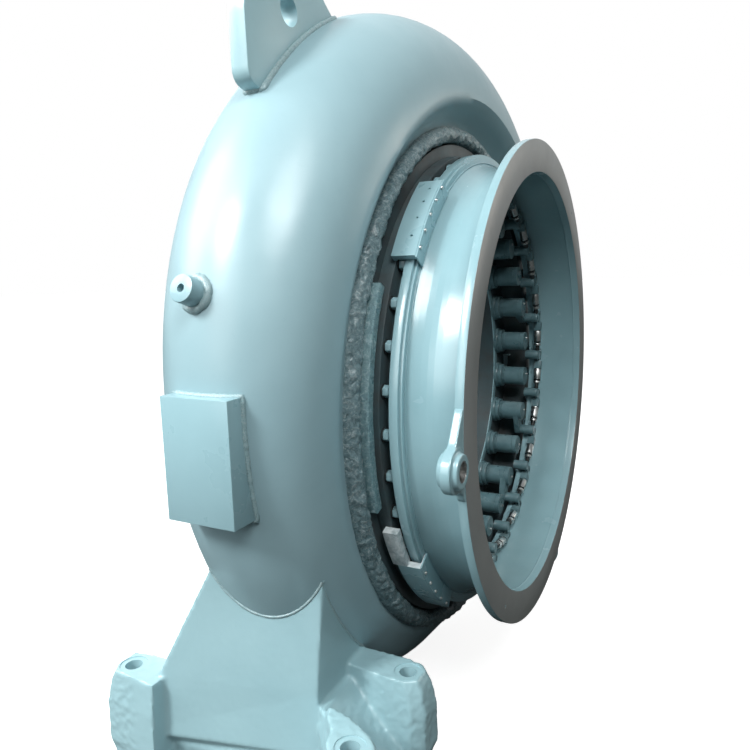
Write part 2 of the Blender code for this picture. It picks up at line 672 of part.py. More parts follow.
def build_ring(paint):
    """Build the regulating ring with its pin web, its running rim and the servomotor ear."""
    profile = ((0, RING_RADIUS), (-RING_FLANGE_THICKNESS, RING_RADIUS),
               (-RING_FLANGE_THICKNESS, RING_TUBE_OUTER), (RIM_TAPER, RING_TUBE_OUTER),
               (RIM_FRONT, RIM_INNER), (RIM_FRONT, RIM_OUTER), (WEB_REAR, RIM_OUTER),
               (WEB_REAR, WEB_INNER), (WEB_FRONT, WEB_INNER), (WEB_FRONT, RING_TUBE_INNER),
               (0, RING_TUBE_INNER))
    ring = part("regulating_ring", turned_mesh("regulating_ring", profile), paint)
    ear_top = (EAR_CENTRE[0] - 0.006, EAR_CENTRE[1] + 0.046)
    outline = ((-0.660, 0.060), (-0.6975, 0.0600), ear_top, (-0.770, -0.103), (-0.705, -0.130),
               (-0.695, -0.145), (-0.640, -0.180))
    join(ring, guide("ear_plate", plate("ear_plate", outline, -0.0008, 0.0008 - RING_FLANGE_THICKNESS)))
    join(ring, guide("ear_eye", round_bars("ear_eye", [EAR_CENTRE], EAR_RADIUS, EAR_FRONT, EAR_REAR, 24)))
    cut(ring, guide("ear_bore", round_bars("ear_bore", [EAR_CENTRE], EAR_BORE, 0.05, -0.08, 16)))


def build_retainers(paint):
    """Build the four retainers that hook over the rim of the regulating ring."""
    for name, (start, end) in RETAINER_SPANS.items():
        seat = (COVER_RIM_RADIUS + GAP) / math.cos(math.radians((end - start) / RETAINER_STEPS / 2))
        section = ((RETAINER_FRONT, RETAINER_OUTER), (RETAINER_REAR, RETAINER_OUTER), (RETAINER_REAR, seat),
                   (COVER_FRONT, seat), (COVER_FRONT, RETAINER_WALL_INNER),
                   (RIM_FRONT + GAP, RETAINER_WALL_INNER), (RIM_FRONT + GAP, RETAINER_LIP_INNER),
                   (RETAINER_FRONT, RETAINER_LIP_INNER))
        part(name, arc_mesh(name, section, start, end, RETAINER_STEPS), paint)


def arc_mesh(name, section, start, end, steps):
    """Sweep a closed section of (x, radius) points round the shaft from one angle to another."""
    solid = bmesh.new()
    corners = [solid.verts.new(polar(radius, start, x)) for x, radius in section]
    edges = [solid.edges.new(pair) for pair in zip(corners, corners[1:] + corners[:1])]
    bmesh.ops.spin(solid, geom=corners + edges, cent=(0, 0, 0), axis=(1, 0, 0),
                   angle=math.radians(end - start), steps=steps)
    ends = [edge for edge in solid.edges if edge.is_boundary]
    bmesh.ops.holes_fill(solid, edges=ends)
    bmesh.ops.recalc_face_normals(solid, faces=solid.faces)
    mesh = bpy.data.meshes.new(name)
    solid.to_mesh(mesh)
    solid.free()
    return mesh


def main():
    """Build every piece of the turbine."""
    paint = finish("pale_blue_paint", PAINT, 0.45, 0.0)
    machined = finish("ring_paint", MACHINED, 0.35, 0.0)
    zinc = finish("zinc", ZINC, 0.3, 1.0)
    build_casing(paint)
    build_inlet_pipe(paint)
    build_foot(paint)
    build_lug(paint)
    build_pad(paint)
    build_head_cover(paint)
    build_rear_cover(paint)
    build_retainers(paint)
    build_ring(machined)
    build_vanes(paint)
    build_links(zinc)


clear_scene()
PARTS = new_collection("francis_turbine")
GUIDES = new_collection("guides")
SHAFT_FRAME = bpy.data.objects.new("shaft_frame", None)
PARTS.objects.link(SHAFT_FRAME)
SHAFT_FRAME.location = (*ORIGIN_SHIFT, AXIS_HEIGHT)
main()
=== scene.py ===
"""Finish of a horizontal Francis turbine: spiral casing, covers, regulating ring and guide vane gear.

Shapes are worked out round the shaft: x runs along it from the ring's open face, and an angle of 0
degrees points to the inlet side, 90 up and 180 to the foot side. Each finished piece is then moved
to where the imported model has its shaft.
"""

from __future__ import annotations

import json
import logging
import math
import random
from dataclasses import dataclass, field
from enum import Enum
from typing import Callable, Iterable, Sequence

import bmesh
import bpy
from mathutils import Matrix, Vector, noise


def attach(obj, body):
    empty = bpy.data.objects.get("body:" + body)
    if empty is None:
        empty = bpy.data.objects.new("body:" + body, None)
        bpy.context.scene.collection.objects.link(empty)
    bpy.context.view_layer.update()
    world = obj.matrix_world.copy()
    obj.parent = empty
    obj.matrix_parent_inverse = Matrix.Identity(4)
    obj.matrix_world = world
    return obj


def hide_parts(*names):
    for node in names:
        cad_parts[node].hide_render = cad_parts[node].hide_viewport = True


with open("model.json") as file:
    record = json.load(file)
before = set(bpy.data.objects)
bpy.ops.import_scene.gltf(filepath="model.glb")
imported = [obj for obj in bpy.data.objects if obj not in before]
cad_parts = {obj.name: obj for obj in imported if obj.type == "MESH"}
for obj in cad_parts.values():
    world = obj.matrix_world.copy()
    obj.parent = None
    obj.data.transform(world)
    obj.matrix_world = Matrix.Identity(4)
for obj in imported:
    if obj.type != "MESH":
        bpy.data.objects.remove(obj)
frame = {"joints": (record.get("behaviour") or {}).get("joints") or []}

LOG = logging.getLogger("turbine")
TURN = 2 * math.pi
Point = tuple[float, float]
Shape = bmesh.types.BMesh
SHAFT = Vector(next(joint["pos_m"] for joint in frame["joints"] if joint["name"] == "ring_turn"))
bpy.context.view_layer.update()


class Slot(Enum):
    """The material slots of the record."""

    CASING = "casing_paint"
    RING = "ring_paint"
    ZINC = "zinc_steel"


def polar(radius: float, degrees: float, x: float = 0.0) -> Vector:
    """Give a point round the shaft.

    Args:
        radius: distance from the shaft's axis.
        degrees: angle from the inlet side, upwards.
        x: place along the shaft.

    Returns:
        The point in the shaft's frame.
    """
    turn = math.radians(degrees)
    return Vector((x, radius * math.cos(turn), radius * math.sin(turn)))


# Shader groups that more than one finish uses


def new_group(name: str, inputs: dict[str, tuple[str, object]], outputs: dict[str, str]) -> bpy.types.NodeTree:
    """Start a shader group with named sockets.

    Args:
        name: the group's name.
        inputs: each input's socket type and default value.
        outputs: each output's socket type.

    Returns:
        The group, with its input and output nodes in place.
    """
    group = bpy.data.node_groups.new(name, "ShaderNodeTree")
    for label, (kind, value) in inputs.items():
        socket = group.interface.new_socket(label, in_out="INPUT", socket_type=kind)
        socket.default_value = value
    for label, kind in outputs.items():
        group.interface.new_socket(label, in_out="OUTPUT", socket_type=kind)
    group.nodes.new("NodeGroupInput").name = "in"
    group.nodes.new("NodeGroupOutput").name = "out"
    return group


class Wires:
    """Adds nodes to a tree and joins them by short calls."""

    def __init__(self, tree: bpy.types.NodeTree) -> None:
        """Keep the tree that the calls work on."""
        self.tree = tree

    def node(self, kind: str, links: dict | None = None, **settings: object) -> bpy.types.Node:
        """Add a node.

        Args:
            kind: the node's type.
            links: a value or an output socket for each named input.
            settings: attributes of the node.

        Returns:
            The new node.
        """
        made = self.tree.nodes.new(kind)
        for key, value in settings.items():
            setattr(made, key, value)
        for label, value in (links or {}).items():
            socket = made.inputs[label]
            if isinstance(value, bpy.types.NodeSocket):
                self.tree.links.new(value, socket)
            else:
                socket.default_value = value
        return made

    def noise(self, vector: bpy.types.NodeSocket, scale: object, detail: float = 4.0, rough: float = 0.55,
              warp: float = 0.0) -> bpy.types.NodeSocket:
        """Give a noise value at a scale."""
        made = self.node("ShaderNodeTexNoise", {"Vector": vector, "Scale": scale, "Detail": detail,
                                                "Roughness": rough, "Distortion": warp})
        return made.outputs["Fac"]

    def math(self, operation: str, first: object, second: object = 0.0, clamp: bool = False) -> bpy.types.NodeSocket:
        """Give the result of a sum on two values."""
        made = self.node("ShaderNodeMath", {0: first, 1: second}, operation=operation, use_clamp=clamp)
        return made.outputs[0]

    def span(self, value: object, low: float, high: float, to_low: float = 0.0, to_high: float = 1.0) -> bpy.types.NodeSocket:
        """Map a value from one range to another, clamped."""
        made = self.node("ShaderNodeMapRange", {"Value": value, "From Min": low, "From Max": high,
                                                "To Min": to_low, "To Max": to_high})
        return made.outputs[0]

    def mix(self, share: object, first: object, second: object) -> bpy.types.NodeSocket:
        """Mix two colours."""
        made = self.node("ShaderNodeMix", data_type="RGBA")
        for index, value in ((0, share), (6, first), (7, second)):
            if isinstance(value, bpy.types.NodeSocket):
                self.tree.links.new(value, made.inputs[index])
            else:
                made.inputs[index].default_value = value
        return made.outputs[2]

    def out(self, **values: bpy.types.NodeSocket) -> None:
        """Join sockets to the group's outputs, with underscores for spaces."""
        for label, value in values.items():
            self.tree.links.new(value, self.tree.nodes["out"].inputs[label.replace("_", " ")])


def enamel_group() -> bpy.types.NodeTree:
    """Make the group for sprayed enamel: cloudy colour, uneven gloss and a fine peel.

    Returns:
        A group with the outputs Colour, Roughness and Height.
    """
    group = new_group("sprayed_enamel", {
        "Colour": ("NodeSocketColor", (0.3, 0.4, 0.4, 1)), "Shade": ("NodeSocketColor", (0.2, 0.3, 0.3, 1)),
        "Gloss Low": ("NodeSocketFloat", 0.25), "Gloss High": ("NodeSocketFloat", 0.45),
        "Cloud Scale": ("NodeSocketFloat", 3.0), "Peel Scale": ("NodeSocketFloat", 320.0),
        "Peel": ("NodeSocketFloat", 0.00012), "Waves": ("NodeSocketFloat", 0.0006)},
        {"Colour": "NodeSocketColor", "Roughness": "NodeSocketFloat", "Height": "NodeSocketFloat"})
    wires = Wires(group)
    given = group.nodes["in"].outputs
    place = wires.node("ShaderNodeTexCoord").outputs["Object"]
    clouds = wires.noise(place, given["Cloud Scale"], 5, 0.6, 0.4)
    speckle = wires.noise(place, 45.0, 6, 0.7)
    share = wires.math("ADD", wires.span(clouds, 0.35, 0.68), wires.span(speckle, 0.56, 0.70, 0.0, 0.25), True)
    colour = wires.mix(share, given["Colour"], given["Shade"])
    smear = wires.span(wires.noise(place, 9.0, 4, 0.55, 0.15), 0.32, 0.7)
    gloss = wires.math("ADD", given["Gloss Low"], wires.math(
        "MULTIPLY", smear, wires.math("SUBTRACT", given["Gloss High"], given["Gloss Low"])))
    peel = wires.math("MULTIPLY", wires.noise(place, given["Peel Scale"], 2, 0.5), given["Peel"])
    waves = wires.math("MULTIPLY", wires.noise(place, 7.0, 2, 0.5), given["Waves"])
    wires.out(Colour=colour, Roughness=gloss, Height=wires.math("ADD", peel, waves))
    return group


def cast_group() -> bpy.types.NodeTree:
    """Make the group for a rough casting under paint: pits, combed ridges and crests; the crests carry rubbed paint
    with painted highlight, the pits painted shade.

    Returns:
        A group with the outputs Height, Crest and Pit.
    """
    group = new_group("rough_casting", {
        "Scale": ("NodeSocketFloat", 60.0), "Depth": ("NodeSocketFloat", 0.002),
        "Height": ("NodeSocketFloat", 0.0)},
        {"Height": "NodeSocketFloat", "Crest": "NodeSocketFloat", "Pit": "NodeSocketFloat"})
    wires = Wires(group)
    given = group.nodes["in"].outputs
    place = wires.node("ShaderNodeTexCoord").outputs["Object"]
    coarse = wires.noise(place, given["Scale"], 6, 0.7, 1.6)
    stretched = wires.node("ShaderNodeMapping", {"Vector": place, "Scale": (0.35, 1.0, 1.0),
                                                 "Rotation": (0.6, 0.0, 0.4)}).outputs[0]
    fine = wires.noise(stretched, wires.math("MULTIPLY", given["Scale"], 3.4), 4, 0.7, 2.2)
    sum_of = wires.math("ADD", coarse, wires.math("MULTIPLY", fine, 0.5))
    height = wires.math("ADD", wires.math("MULTIPLY", sum_of, given["Depth"]), given["Height"])
    # Crest marks the high ridges for rubbed paint with painted highlight; Pit marks the low hollows for painted shade.
    wires.out(Height=height, Crest=wires.span(sum_of, 0.77, 0.93), Pit=wires.span(sum_of, 0.71, 0.57))
    return group


def settle_group() -> bpy.types.NodeTree:
    """Make the group for pale dust on what faces up.

    Returns:
        A group with the output Colour.
    """
    group = new_group("settled_dust", {
        "Colour": ("NodeSocketColor", (0.3, 0.4, 0.4, 1)), "Dust": ("NodeSocketColor", (0.62, 0.64, 0.62, 1)),
        "Amount": ("NodeSocketFloat", 0.2)}, {"Colour": "NodeSocketColor"})
    wires = Wires(group)
    given = group.nodes["in"].outputs
    up = wires.node("ShaderNodeSeparateXYZ", {0: wires.node("ShaderNodeNewGeometry").outputs["Normal"]}).outputs["Z"]
    place = wires.node("ShaderNodeTexCoord").outputs["Object"]
    patches = wires.span(wires.noise(place, 14.0, 6, 0.6, 0.1), 0.42, 0.66)
    share = wires.math("MULTIPLY", wires.math("MULTIPLY", wires.span(up, 0.15, 0.95), patches), given["Amount"])
    wires.out(Colour=wires.mix(share, given["Colour"], given["Dust"]))
    return group


class Groups:
    """The shader groups, each built once."""

    made: dict[str, bpy.types.NodeTree] = {}

    @classmethod
    def get(cls, maker: Callable[[], bpy.types.NodeTree]) -> bpy.types.NodeTree:
        """Give the group that a function makes, made at its first use."""
        if maker.__name__ not in cls.made:
            cls.made[maker.__name__] = maker()
        return cls.made[maker.__name__]


@dataclass(frozen=True)
class Enamel:
    """A painted finish over cast, turned or welded steel.

    Attributes:
        name: the material's name.
        slot: the record's material slot; not used.
        colour: main colour of the coat.
        shade: colour of its thinner or dirtier clouds.
        gloss: lowest and highest roughness.
        clouds: scale of the colour clouds.
        peel: height of the spray's fine peel.
        waves: height of slow waves in the plate.
        rough: scale and depth of a casting's roughness, or depth 0.
        crest_wear_and_highlight: colour of the crests on a rough casting, rubbed paint with painted highlight.
        wear_and_painted_light: how strongly the crests' rubbed paint and painted highlight, and the pits' painted
            shade, show in the colour.
        dust: amount of dust on upward faces.
        coat: weight of the clear gloss over it.
    """

    name: str
    slot: Slot = Slot.CASING
    colour: tuple[float, float, float] = (0.33, 0.44, 0.455)
    shade: tuple[float, float, float] = (0.27, 0.375, 0.39)
    gloss: tuple[float, float] = (0.24, 0.42)
    clouds: float = 2.4
    peel: float = 0.00010
    waves: float = 0.0010
    rough: tuple[float, float] = (60.0, 0.0)
    crest_wear_and_highlight: tuple[float, float, float] = (0.55, 0.58, 0.57)
    wear_and_painted_light: float = 0.75
    dust: float = 0.15
    coat: float = 0.25

    def material(self) -> bpy.types.Material:
        """Build the material, or give it if it is there.

        Returns:
            The finish's Principled material.
        """
        if self.name in bpy.data.materials:
            return bpy.data.materials[self.name]
        made = bpy.data.materials.new(self.name)
        made.use_nodes = True
        tree = made.node_tree
        shader = tree.nodes["Principled BSDF"]
        wires = Wires(tree)
        coat = wires.node("ShaderNodeGroup", node_tree=Groups.get(enamel_group))
        coat.inputs["Colour"].default_value = (*self.colour, 1)
        coat.inputs["Shade"].default_value = (*self.shade, 1)
        for label, value in (("Gloss Low", self.gloss[0]), ("Gloss High", self.gloss[1]), ("Peel", self.peel),
                             ("Cloud Scale", self.clouds), ("Waves", self.waves)):
            coat.inputs[label].default_value = value
        colour, height = coat.outputs["Colour"], coat.outputs["Height"]
        if self.rough[1]:
            cast = wires.node("ShaderNodeGroup", {}, node_tree=Groups.get(cast_group))
            cast.inputs["Scale"].default_value, cast.inputs["Depth"].default_value = self.rough
            tree.links.new(height, cast.inputs["Height"])
            height = cast.outputs["Height"]
            # Crests take the light colour given for them, rubbed paint with painted highlight; pits take a dark copy
            # of the shade colour, painted shade in the hollows.
            colour = wires.mix(wires.math("MULTIPLY", cast.outputs["Crest"], self.wear_and_painted_light), colour, (*self.crest_wear_and_highlight, 1))
            pit_shade = tuple(0.4 * part for part in self.shade)
            colour = wires.mix(wires.math("MULTIPLY", cast.outputs["Pit"], self.wear_and_painted_light), colour, (*pit_shade, 1))
        dust = wires.node("ShaderNodeGroup", node_tree=Groups.get(settle_group))
        dust.inputs["Amount"].default_value = self.dust
        tree.links.new(colour, dust.inputs["Colour"])
        tree.links.new(dust.outputs["Colour"], shader.inputs["Base Color"])
        tree.links.new(coat.outputs["Roughness"], shader.inputs["Roughness"])
        bump = wires.node("ShaderNodeBump", {"Height": height, "Distance": 1.0})
        tree.links.new(bump.outputs["Normal"], shader.inputs["Normal"])
        shader.inputs["Coat Weight"].default_value = self.coat
        shader.inputs["Coat Roughness"].default_value = 0.24
        return made


@dataclass(frozen=True)
class BareMetal:
    """A plated, turned or bare metal finish.

    Attributes:
        name: the material's name.
        slot: the record's material slot; not used.
        colour: bright colour.
        stain: colour of its dull patches.
        gloss: lowest and highest roughness.
        metallic: how much of it is bare metal.
        grain: scale of the fine marks along each axis.
        depth: height of those marks.
    """

    name: str
    slot: Slot = Slot.ZINC
    colour: tuple[float, float, float] = (0.74, 0.75, 0.74)
    stain: tuple[float, float, float] = (0.50, 0.51, 0.50)
    gloss: tuple[float, float] = (0.22, 0.42)
    metallic: float = 1.0
    grain: tuple[float, float, float] = (260.0, 260.0, 260.0)
    depth: float = 0.00006

    def material(self) -> bpy.types.Material:
        """Build the material, or give it if it is there.

        Returns:
            The finish's Principled material.
        """
        if self.name in bpy.data.materials:
            return bpy.data.materials[self.name]
        made = bpy.data.materials.new(self.name)
        made.use_nodes = True
        tree = made.node_tree
        shader = tree.nodes["Principled BSDF"]
        wires = Wires(tree)
        place = wires.node("ShaderNodeTexCoord").outputs["Object"]
        stretched = wires.node("ShaderNodeMapping", {"Vector": place, "Scale": self.grain}).outputs[0]
        marks = wires.noise(stretched, 1.0, 5, 0.6)
        patches = wires.span(wires.noise(place, 30.0, 6, 0.65, 0.6), 0.42, 0.68)
        tree.links.new(wires.mix(patches, (*self.colour, 1), (*self.stain, 1)), shader.inputs["Base Color"])
        low, high = self.gloss
        tree.links.new(wires.span(wires.math("ADD", patches, marks), 0.2, 1.5, low, high), shader.inputs["Roughness"])
        bump = wires.node("ShaderNodeBump", {"Height": wires.math("MULTIPLY", marks, self.depth), "Distance": 1.0})
        tree.links.new(bump.outputs["Normal"], shader.inputs["Normal"])
        shader.inputs["Metallic"].default_value = self.metallic
        return made


class Finishes:
    """Every finish of the turbine."""

    spiral = Enamel("spiral_enamel", colour=(0.296, 0.440, 0.480), shade=(0.262, 0.400, 0.442), gloss=(0.30, 0.42),
                    clouds=1.7, waves=0.0026, dust=0.02, coat=0.14)
    cast = Enamel("cast_enamel", colour=(0.272, 0.420, 0.452), gloss=(0.34, 0.5), rough=(46.0, 0.0022), wear_and_painted_light=0.5,
                  dust=0.12, coat=0.15)
    # On the bead and the rim, the light colour for crests is painted highlight as well as rubbed paint, and the
    # darkened pits are painted shade.
    bead = Enamel("rough_bead_enamel", colour=(0.205, 0.305, 0.330), shade=(0.120, 0.205, 0.228), gloss=(0.24, 0.40),
                  rough=(58.0, 0.0070), crest_wear_and_highlight=(0.58, 0.67, 0.69), wear_and_painted_light=0.75, dust=0.05, coat=0.4)
    rim = Enamel("rough_rim_enamel", colour=(0.200, 0.340, 0.370), shade=(0.125, 0.240, 0.270), gloss=(0.22, 0.40),
                 rough=(62.0, 0.0042), crest_wear_and_highlight=(0.52, 0.67, 0.70), wear_and_painted_light=0.65, dust=0.05, coat=0.3)
    plate = Enamel("plate_enamel", colour=(0.276, 0.440, 0.484), shade=(0.252, 0.410, 0.452), gloss=(0.24, 0.36),
                   clouds=5.0, waves=0.0004, dust=0.04)
    foot = Enamel("foot_enamel", colour=(0.325, 0.500, 0.540), shade=(0.288, 0.455, 0.496), gloss=(0.28, 0.42),
                  clouds=3.0, waves=0.0012, dust=0.02)
    weld = Enamel("weld_enamel", colour=(0.272, 0.424, 0.458), gloss=(0.26, 0.40), rough=(130.0, 0.0008), wear_and_painted_light=0.5,
                  dust=0.04, coat=0.3)
    ring = Enamel("ring_enamel", Slot.RING, colour=(0.274, 0.438, 0.480), shade=(0.246, 0.404, 0.446),
                  gloss=(0.19, 0.28), clouds=4.0, peel=0.00005, waves=0.0003, dust=0.02, coat=0.45)
    # A darker grey copy of the ring's paint: painted shade and painted reflection on the flange's front face.
    face = Enamel("ring_face_enamel_painted_shade", Slot.RING, colour=(0.225, 0.241, 0.238), shade=(0.204, 0.221, 0.220),
                  gloss=(0.30, 0.42), clouds=5.0, peel=0.00005, waves=0.0003, dust=0.02, coat=0.1)
    # Much darker than the casing's teal: painted shade for the vane gear, stem sleeves and link forks deep inside the
    # ring.
    gear = Enamel("gear_enamel_painted_shade", colour=(0.110, 0.195, 0.215), shade=(0.075, 0.142, 0.160), gloss=(0.24, 0.42),
                  clouds=16.0, waves=0.0001, dust=0.08, coat=0.3)
    # Near-black: painted shade for the dark gap and the well of the cover and stay ring.
    well = Enamel("painted_shade_in_the_well", colour=(0.045, 0.078, 0.088), shade=(0.048, 0.052, 0.053), gloss=(0.45, 0.65),
                  clouds=8.0, waves=0.0002, dust=0.04, coat=0.0)
    zinc = BareMetal("bright_zinc")
    bolt = BareMetal("bolt_zinc", colour=(0.66, 0.67, 0.66), stain=(0.42, 0.43, 0.42))
    sawn = BareMetal("sawn_steel", Slot.CASING, colour=(0.74, 0.79, 0.80), stain=(0.34, 0.42, 0.44),
                     gloss=(0.34, 0.60), metallic=0.15, grain=(420.0, 90.0, 420.0), depth=0.0012)
    black = BareMetal("black_steel", colour=(0.045, 0.05, 0.05), stain=(0.02, 0.022, 0.022), gloss=(0.35, 0.55),
                      metallic=0.6)
    bore = BareMetal("turned_steel", Slot.RING, colour=(0.50, 0.50, 0.49), stain=(0.36, 0.35, 0.34),
                     gloss=(0.25, 0.42), grain=(600.0, 40.0, 40.0))


# Modelling helpers: each adds to a shape with bmesh operators


def rounded(profile: Sequence[Point], radius: float, closed: bool = True, arc: int = 4) -> list[Point]:
    """Round the corners of an outline.

    Args:
        profile: the corners in order.
        radius: how far from a corner its round starts, less on short sides.
        closed: whether the last corner joins the first.
        arc: pieces in each round.

    Returns:
        The outline with rounds in place of its corners.
    """
    points = [Vector(point) for point in profile]
    made: list[Point] = []
    for index, corner in enumerate(points):
        if not closed and index in (0, len(points) - 1):
            made.append(tuple(corner))
            continue
        before, after = points[index - 1] - corner, points[(index + 1) % len(points)] - corner
        reach = min(radius, 0.45 * before.length, 0.45 * after.length)
        start, end = corner + before.normalized() * reach, corner + after.normalized() * reach
        for step in range(arc + 1):
            share = step / arc
            bend = start.lerp(corner, share).lerp(corner.lerp(end, share), share)
            made.append(tuple(bend))
    return made


def turned(shape: Shape, profile: Sequence[Point], steps: int = 180, closed: bool = True,
           start: float = 0.0, sweep: float = 360.0) -> list[bmesh.types.BMVert]:
    """Spin a profile of (x, radius) points round the shaft.

    Args:
        shape: the shape to add to.
        profile: the points.
        steps: pieces round the turn.
        closed: whether the last point joins the first.
        start: angle of the first copy, in degrees.
        sweep: how far round it goes, in degrees.

    Returns:
        The new vertices.
    """
    before = set(shape.verts)
    corners = [shape.verts.new(polar(radius, start, x)) for x, radius in profile]
    pairs = list(zip(corners, corners[1:])) + ([(corners[-1], corners[0])] if closed else [])
    edges = [shape.edges.new(pair) for pair in pairs]
    whole = sweep == 360.0
    bmesh.ops.spin(shape, geom=corners + edges, cent=(0, 0, 0), axis=(1, 0, 0), angle=math.radians(sweep),
                   steps=steps, use_merge=whole)
    made = [vert for vert in shape.verts if vert not in before]
    bmesh.ops.remove_doubles(shape, verts=made, dist=0.000001)
    made = [vert for vert in shape.verts if vert not in before]
    if not whole and closed:
        rim = {edge for vert in made for edge in vert.link_edges if edge.is_boundary}
        bmesh.ops.holes_fill(shape, edges=list(rim))
    bmesh.ops.recalc_face_normals(shape, faces=list({face for vert in made for face in vert.link_faces}))
    return made


def soften(shape: Shape, verts: Iterable[bmesh.types.BMVert], width: float, segments: int = 2,
           over: float = 50.0) -> None:
    """Bevel the sharp edges among some vertices.

    Args:
        shape: the shape they are in.
        verts: the vertices.
        width: width of the bevel.
        segments: its pieces.
        over: the angle between faces past which an edge is sharp, in degrees.
    """
    limit = math.radians(over)
    edges = {edge for vert in verts for edge in vert.link_edges if len(edge.link_faces) == 2}
    sharp = [edge for edge in edges if edge.calc_face_angle(0) > limit]
    bmesh.ops.bevel(shape, geom=sharp, offset=width, offset_type="OFFSET", segments=segments, profile=0.5,
                    affect="EDGES", material=-1)


def round_bar(shape: Shape, start: Vector, end: Vector, radius: float, end_radius: float | None = None,
              sides: int = 32, bevel: float = 0.0) -> None:
    """Add a cylinder or cone between two points.

    Args:
        shape: the shape to add to.
        start: centre of one end.
        end: centre of the other.
        radius: radius at the start.
        end_radius: radius at the end, if it differs.
        sides: number of sides.
        bevel: width of the bevel on its rims.
    """
    axis = end - start
    turn = axis.to_track_quat("Z", "Y").to_matrix().to_4x4()
    made = bmesh.ops.create_cone(shape, cap_ends=True, segments=sides, radius1=radius,
                                 radius2=radius if end_radius is None else end_radius, depth=axis.length,
                                 matrix=Matrix.Translation((start + end) / 2) @ turn)
    if bevel:
        soften(shape, made["verts"], bevel)


def flat_plate(shape: Shape, outline: Sequence[Point], x_front: float, x_rear: float, bevel: float = 0.0,
               matrix: Matrix | None = None) -> None:
    """Add a plate across the shaft from an outline of (y, z) points.

    Args:
        shape: the shape to add to.
        outline: the points.
        x_front: place of its front face.
        x_rear: place of its rear face.
        bevel: width of the bevel on its edges.
        matrix: where the plate goes, if not as it is.
    """
    corners = [shape.verts.new((x_rear, y, z)) for y, z in outline]
    face = shape.faces.new(corners)
    grown = bmesh.ops.extrude_face_region(shape, geom=[face])["geom"]
    front = [item for item in grown if isinstance(item, bmesh.types.BMVert)]
    bmesh.ops.translate(shape, verts=front, vec=(x_front - x_rear, 0, 0))
    if matrix is not None:
        bmesh.ops.transform(shape, matrix=matrix, verts=corners + front)
    bmesh.ops.recalc_face_normals(shape, faces=list({face for vert in corners + front for face in vert.link_faces}))
    if bevel:
        soften(shape, corners + front, bevel)


def block(shape: Shape, low: Sequence[float], high: Sequence[float], bevel: float = 0.0) -> None:
    """Add a block between two level rectangles, each (x0, x1, y0, y1, z).

    Args:
        shape: the shape to add to.
        low: the lower rectangle.
        high: the upper rectangle.
        bevel: width of the bevel on its edges.
    """
    verts = bmesh.ops.create_cube(shape, size=2)["verts"]
    for corner in verts:
        x0, x1, y0, y1, z = high if corner.co.z > 0 else low
        corner.co = (x1 if corner.co.x > 0 else x0, y1 if corner.co.y > 0 else y0, z)
    if bevel:
        soften(shape, verts, bevel)


def stacked(shape: Shape, levels: Sequence[tuple[float, Sequence[Point]]]) -> None:
    """Add a solid through level outlines.

    Args:
        shape: the shape to add to.
        levels: each level's z and its outline of (x, y) points, from the top down.
    """
    loops = []
    for z, outline in levels:
        corners = [shape.verts.new((x, y, z)) for x, y in outline]
        loops.append([shape.edges.new(pair) for pair in zip(corners, corners[1:] + corners[:1])])
    faces = []
    for upper, lower in zip(loops, loops[1:]):
        faces += bmesh.ops.bridge_loops(shape, edges=upper + lower)["faces"]
    for loop in (loops[0], loops[-1]):
        faces += bmesh.ops.holes_fill(shape, edges=loop)["faces"]
    bmesh.ops.recalc_face_normals(shape, faces=faces)


def merge(shape: Shape, other: Shape) -> None:
    """Add one shape to another, and free it."""
    passing = mesh_of(other, "passing")
    shape.from_mesh(passing)
    bpy.data.meshes.remove(passing)


def hull_outline(start: Point, end: Point, start_radius: float, end_radius: float, arc: int = 10) -> list[Point]:
    """Give the outline round two circles and the straight sides between them."""
    first, last = Vector(start), Vector(end)
    heading = math.atan2(last.y - first.y, last.x - first.x)
    lean = math.acos((start_radius - end_radius) / (last - first).length)
    outline = []
    for centre, radius, low, high in ((last, end_radius, -lean, lean), (first, start_radius, lean, TURN - lean)):
        for step in range(arc + 1):
            turn = heading + low + (high - low) * step / arc
            outline.append((centre.x + radius * math.cos(turn), centre.y + radius * math.sin(turn)))
    return outline


def hex_bolt(shape: Shape, seat: Vector, axis: Vector, size: float, washer: bool = True) -> None:
    """Add a hexagon bolt head on its washer.

    Args:
        shape: the shape to add to.
        seat: the middle of its seat.
        axis: the way the head stands out.
        size: the thread's diameter.
        washer: whether a washer lies under it.
    """
    out = axis.normalized()
    base = seat + out * (0.16 * size if washer else 0)
    if washer:
        round_bar(shape, seat, base, 1.05 * size, sides=16)
    round_bar(shape, base, base + out * 0.62 * size, 0.92 * size, 0.88 * size, sides=6)
    round_bar(shape, base + out * 0.60 * size, base + out * 0.68 * size, 0.78 * size, 0.66 * size, sides=12)


def socket_screw(shape: Shape, seat: Vector, axis: Vector, size: float) -> None:
    """Add a round screw head with a sunk middle."""
    out = axis.normalized()
    round_bar(shape, seat, seat + out * 0.5 * size, 0.8 * size, 0.72 * size, sides=12)


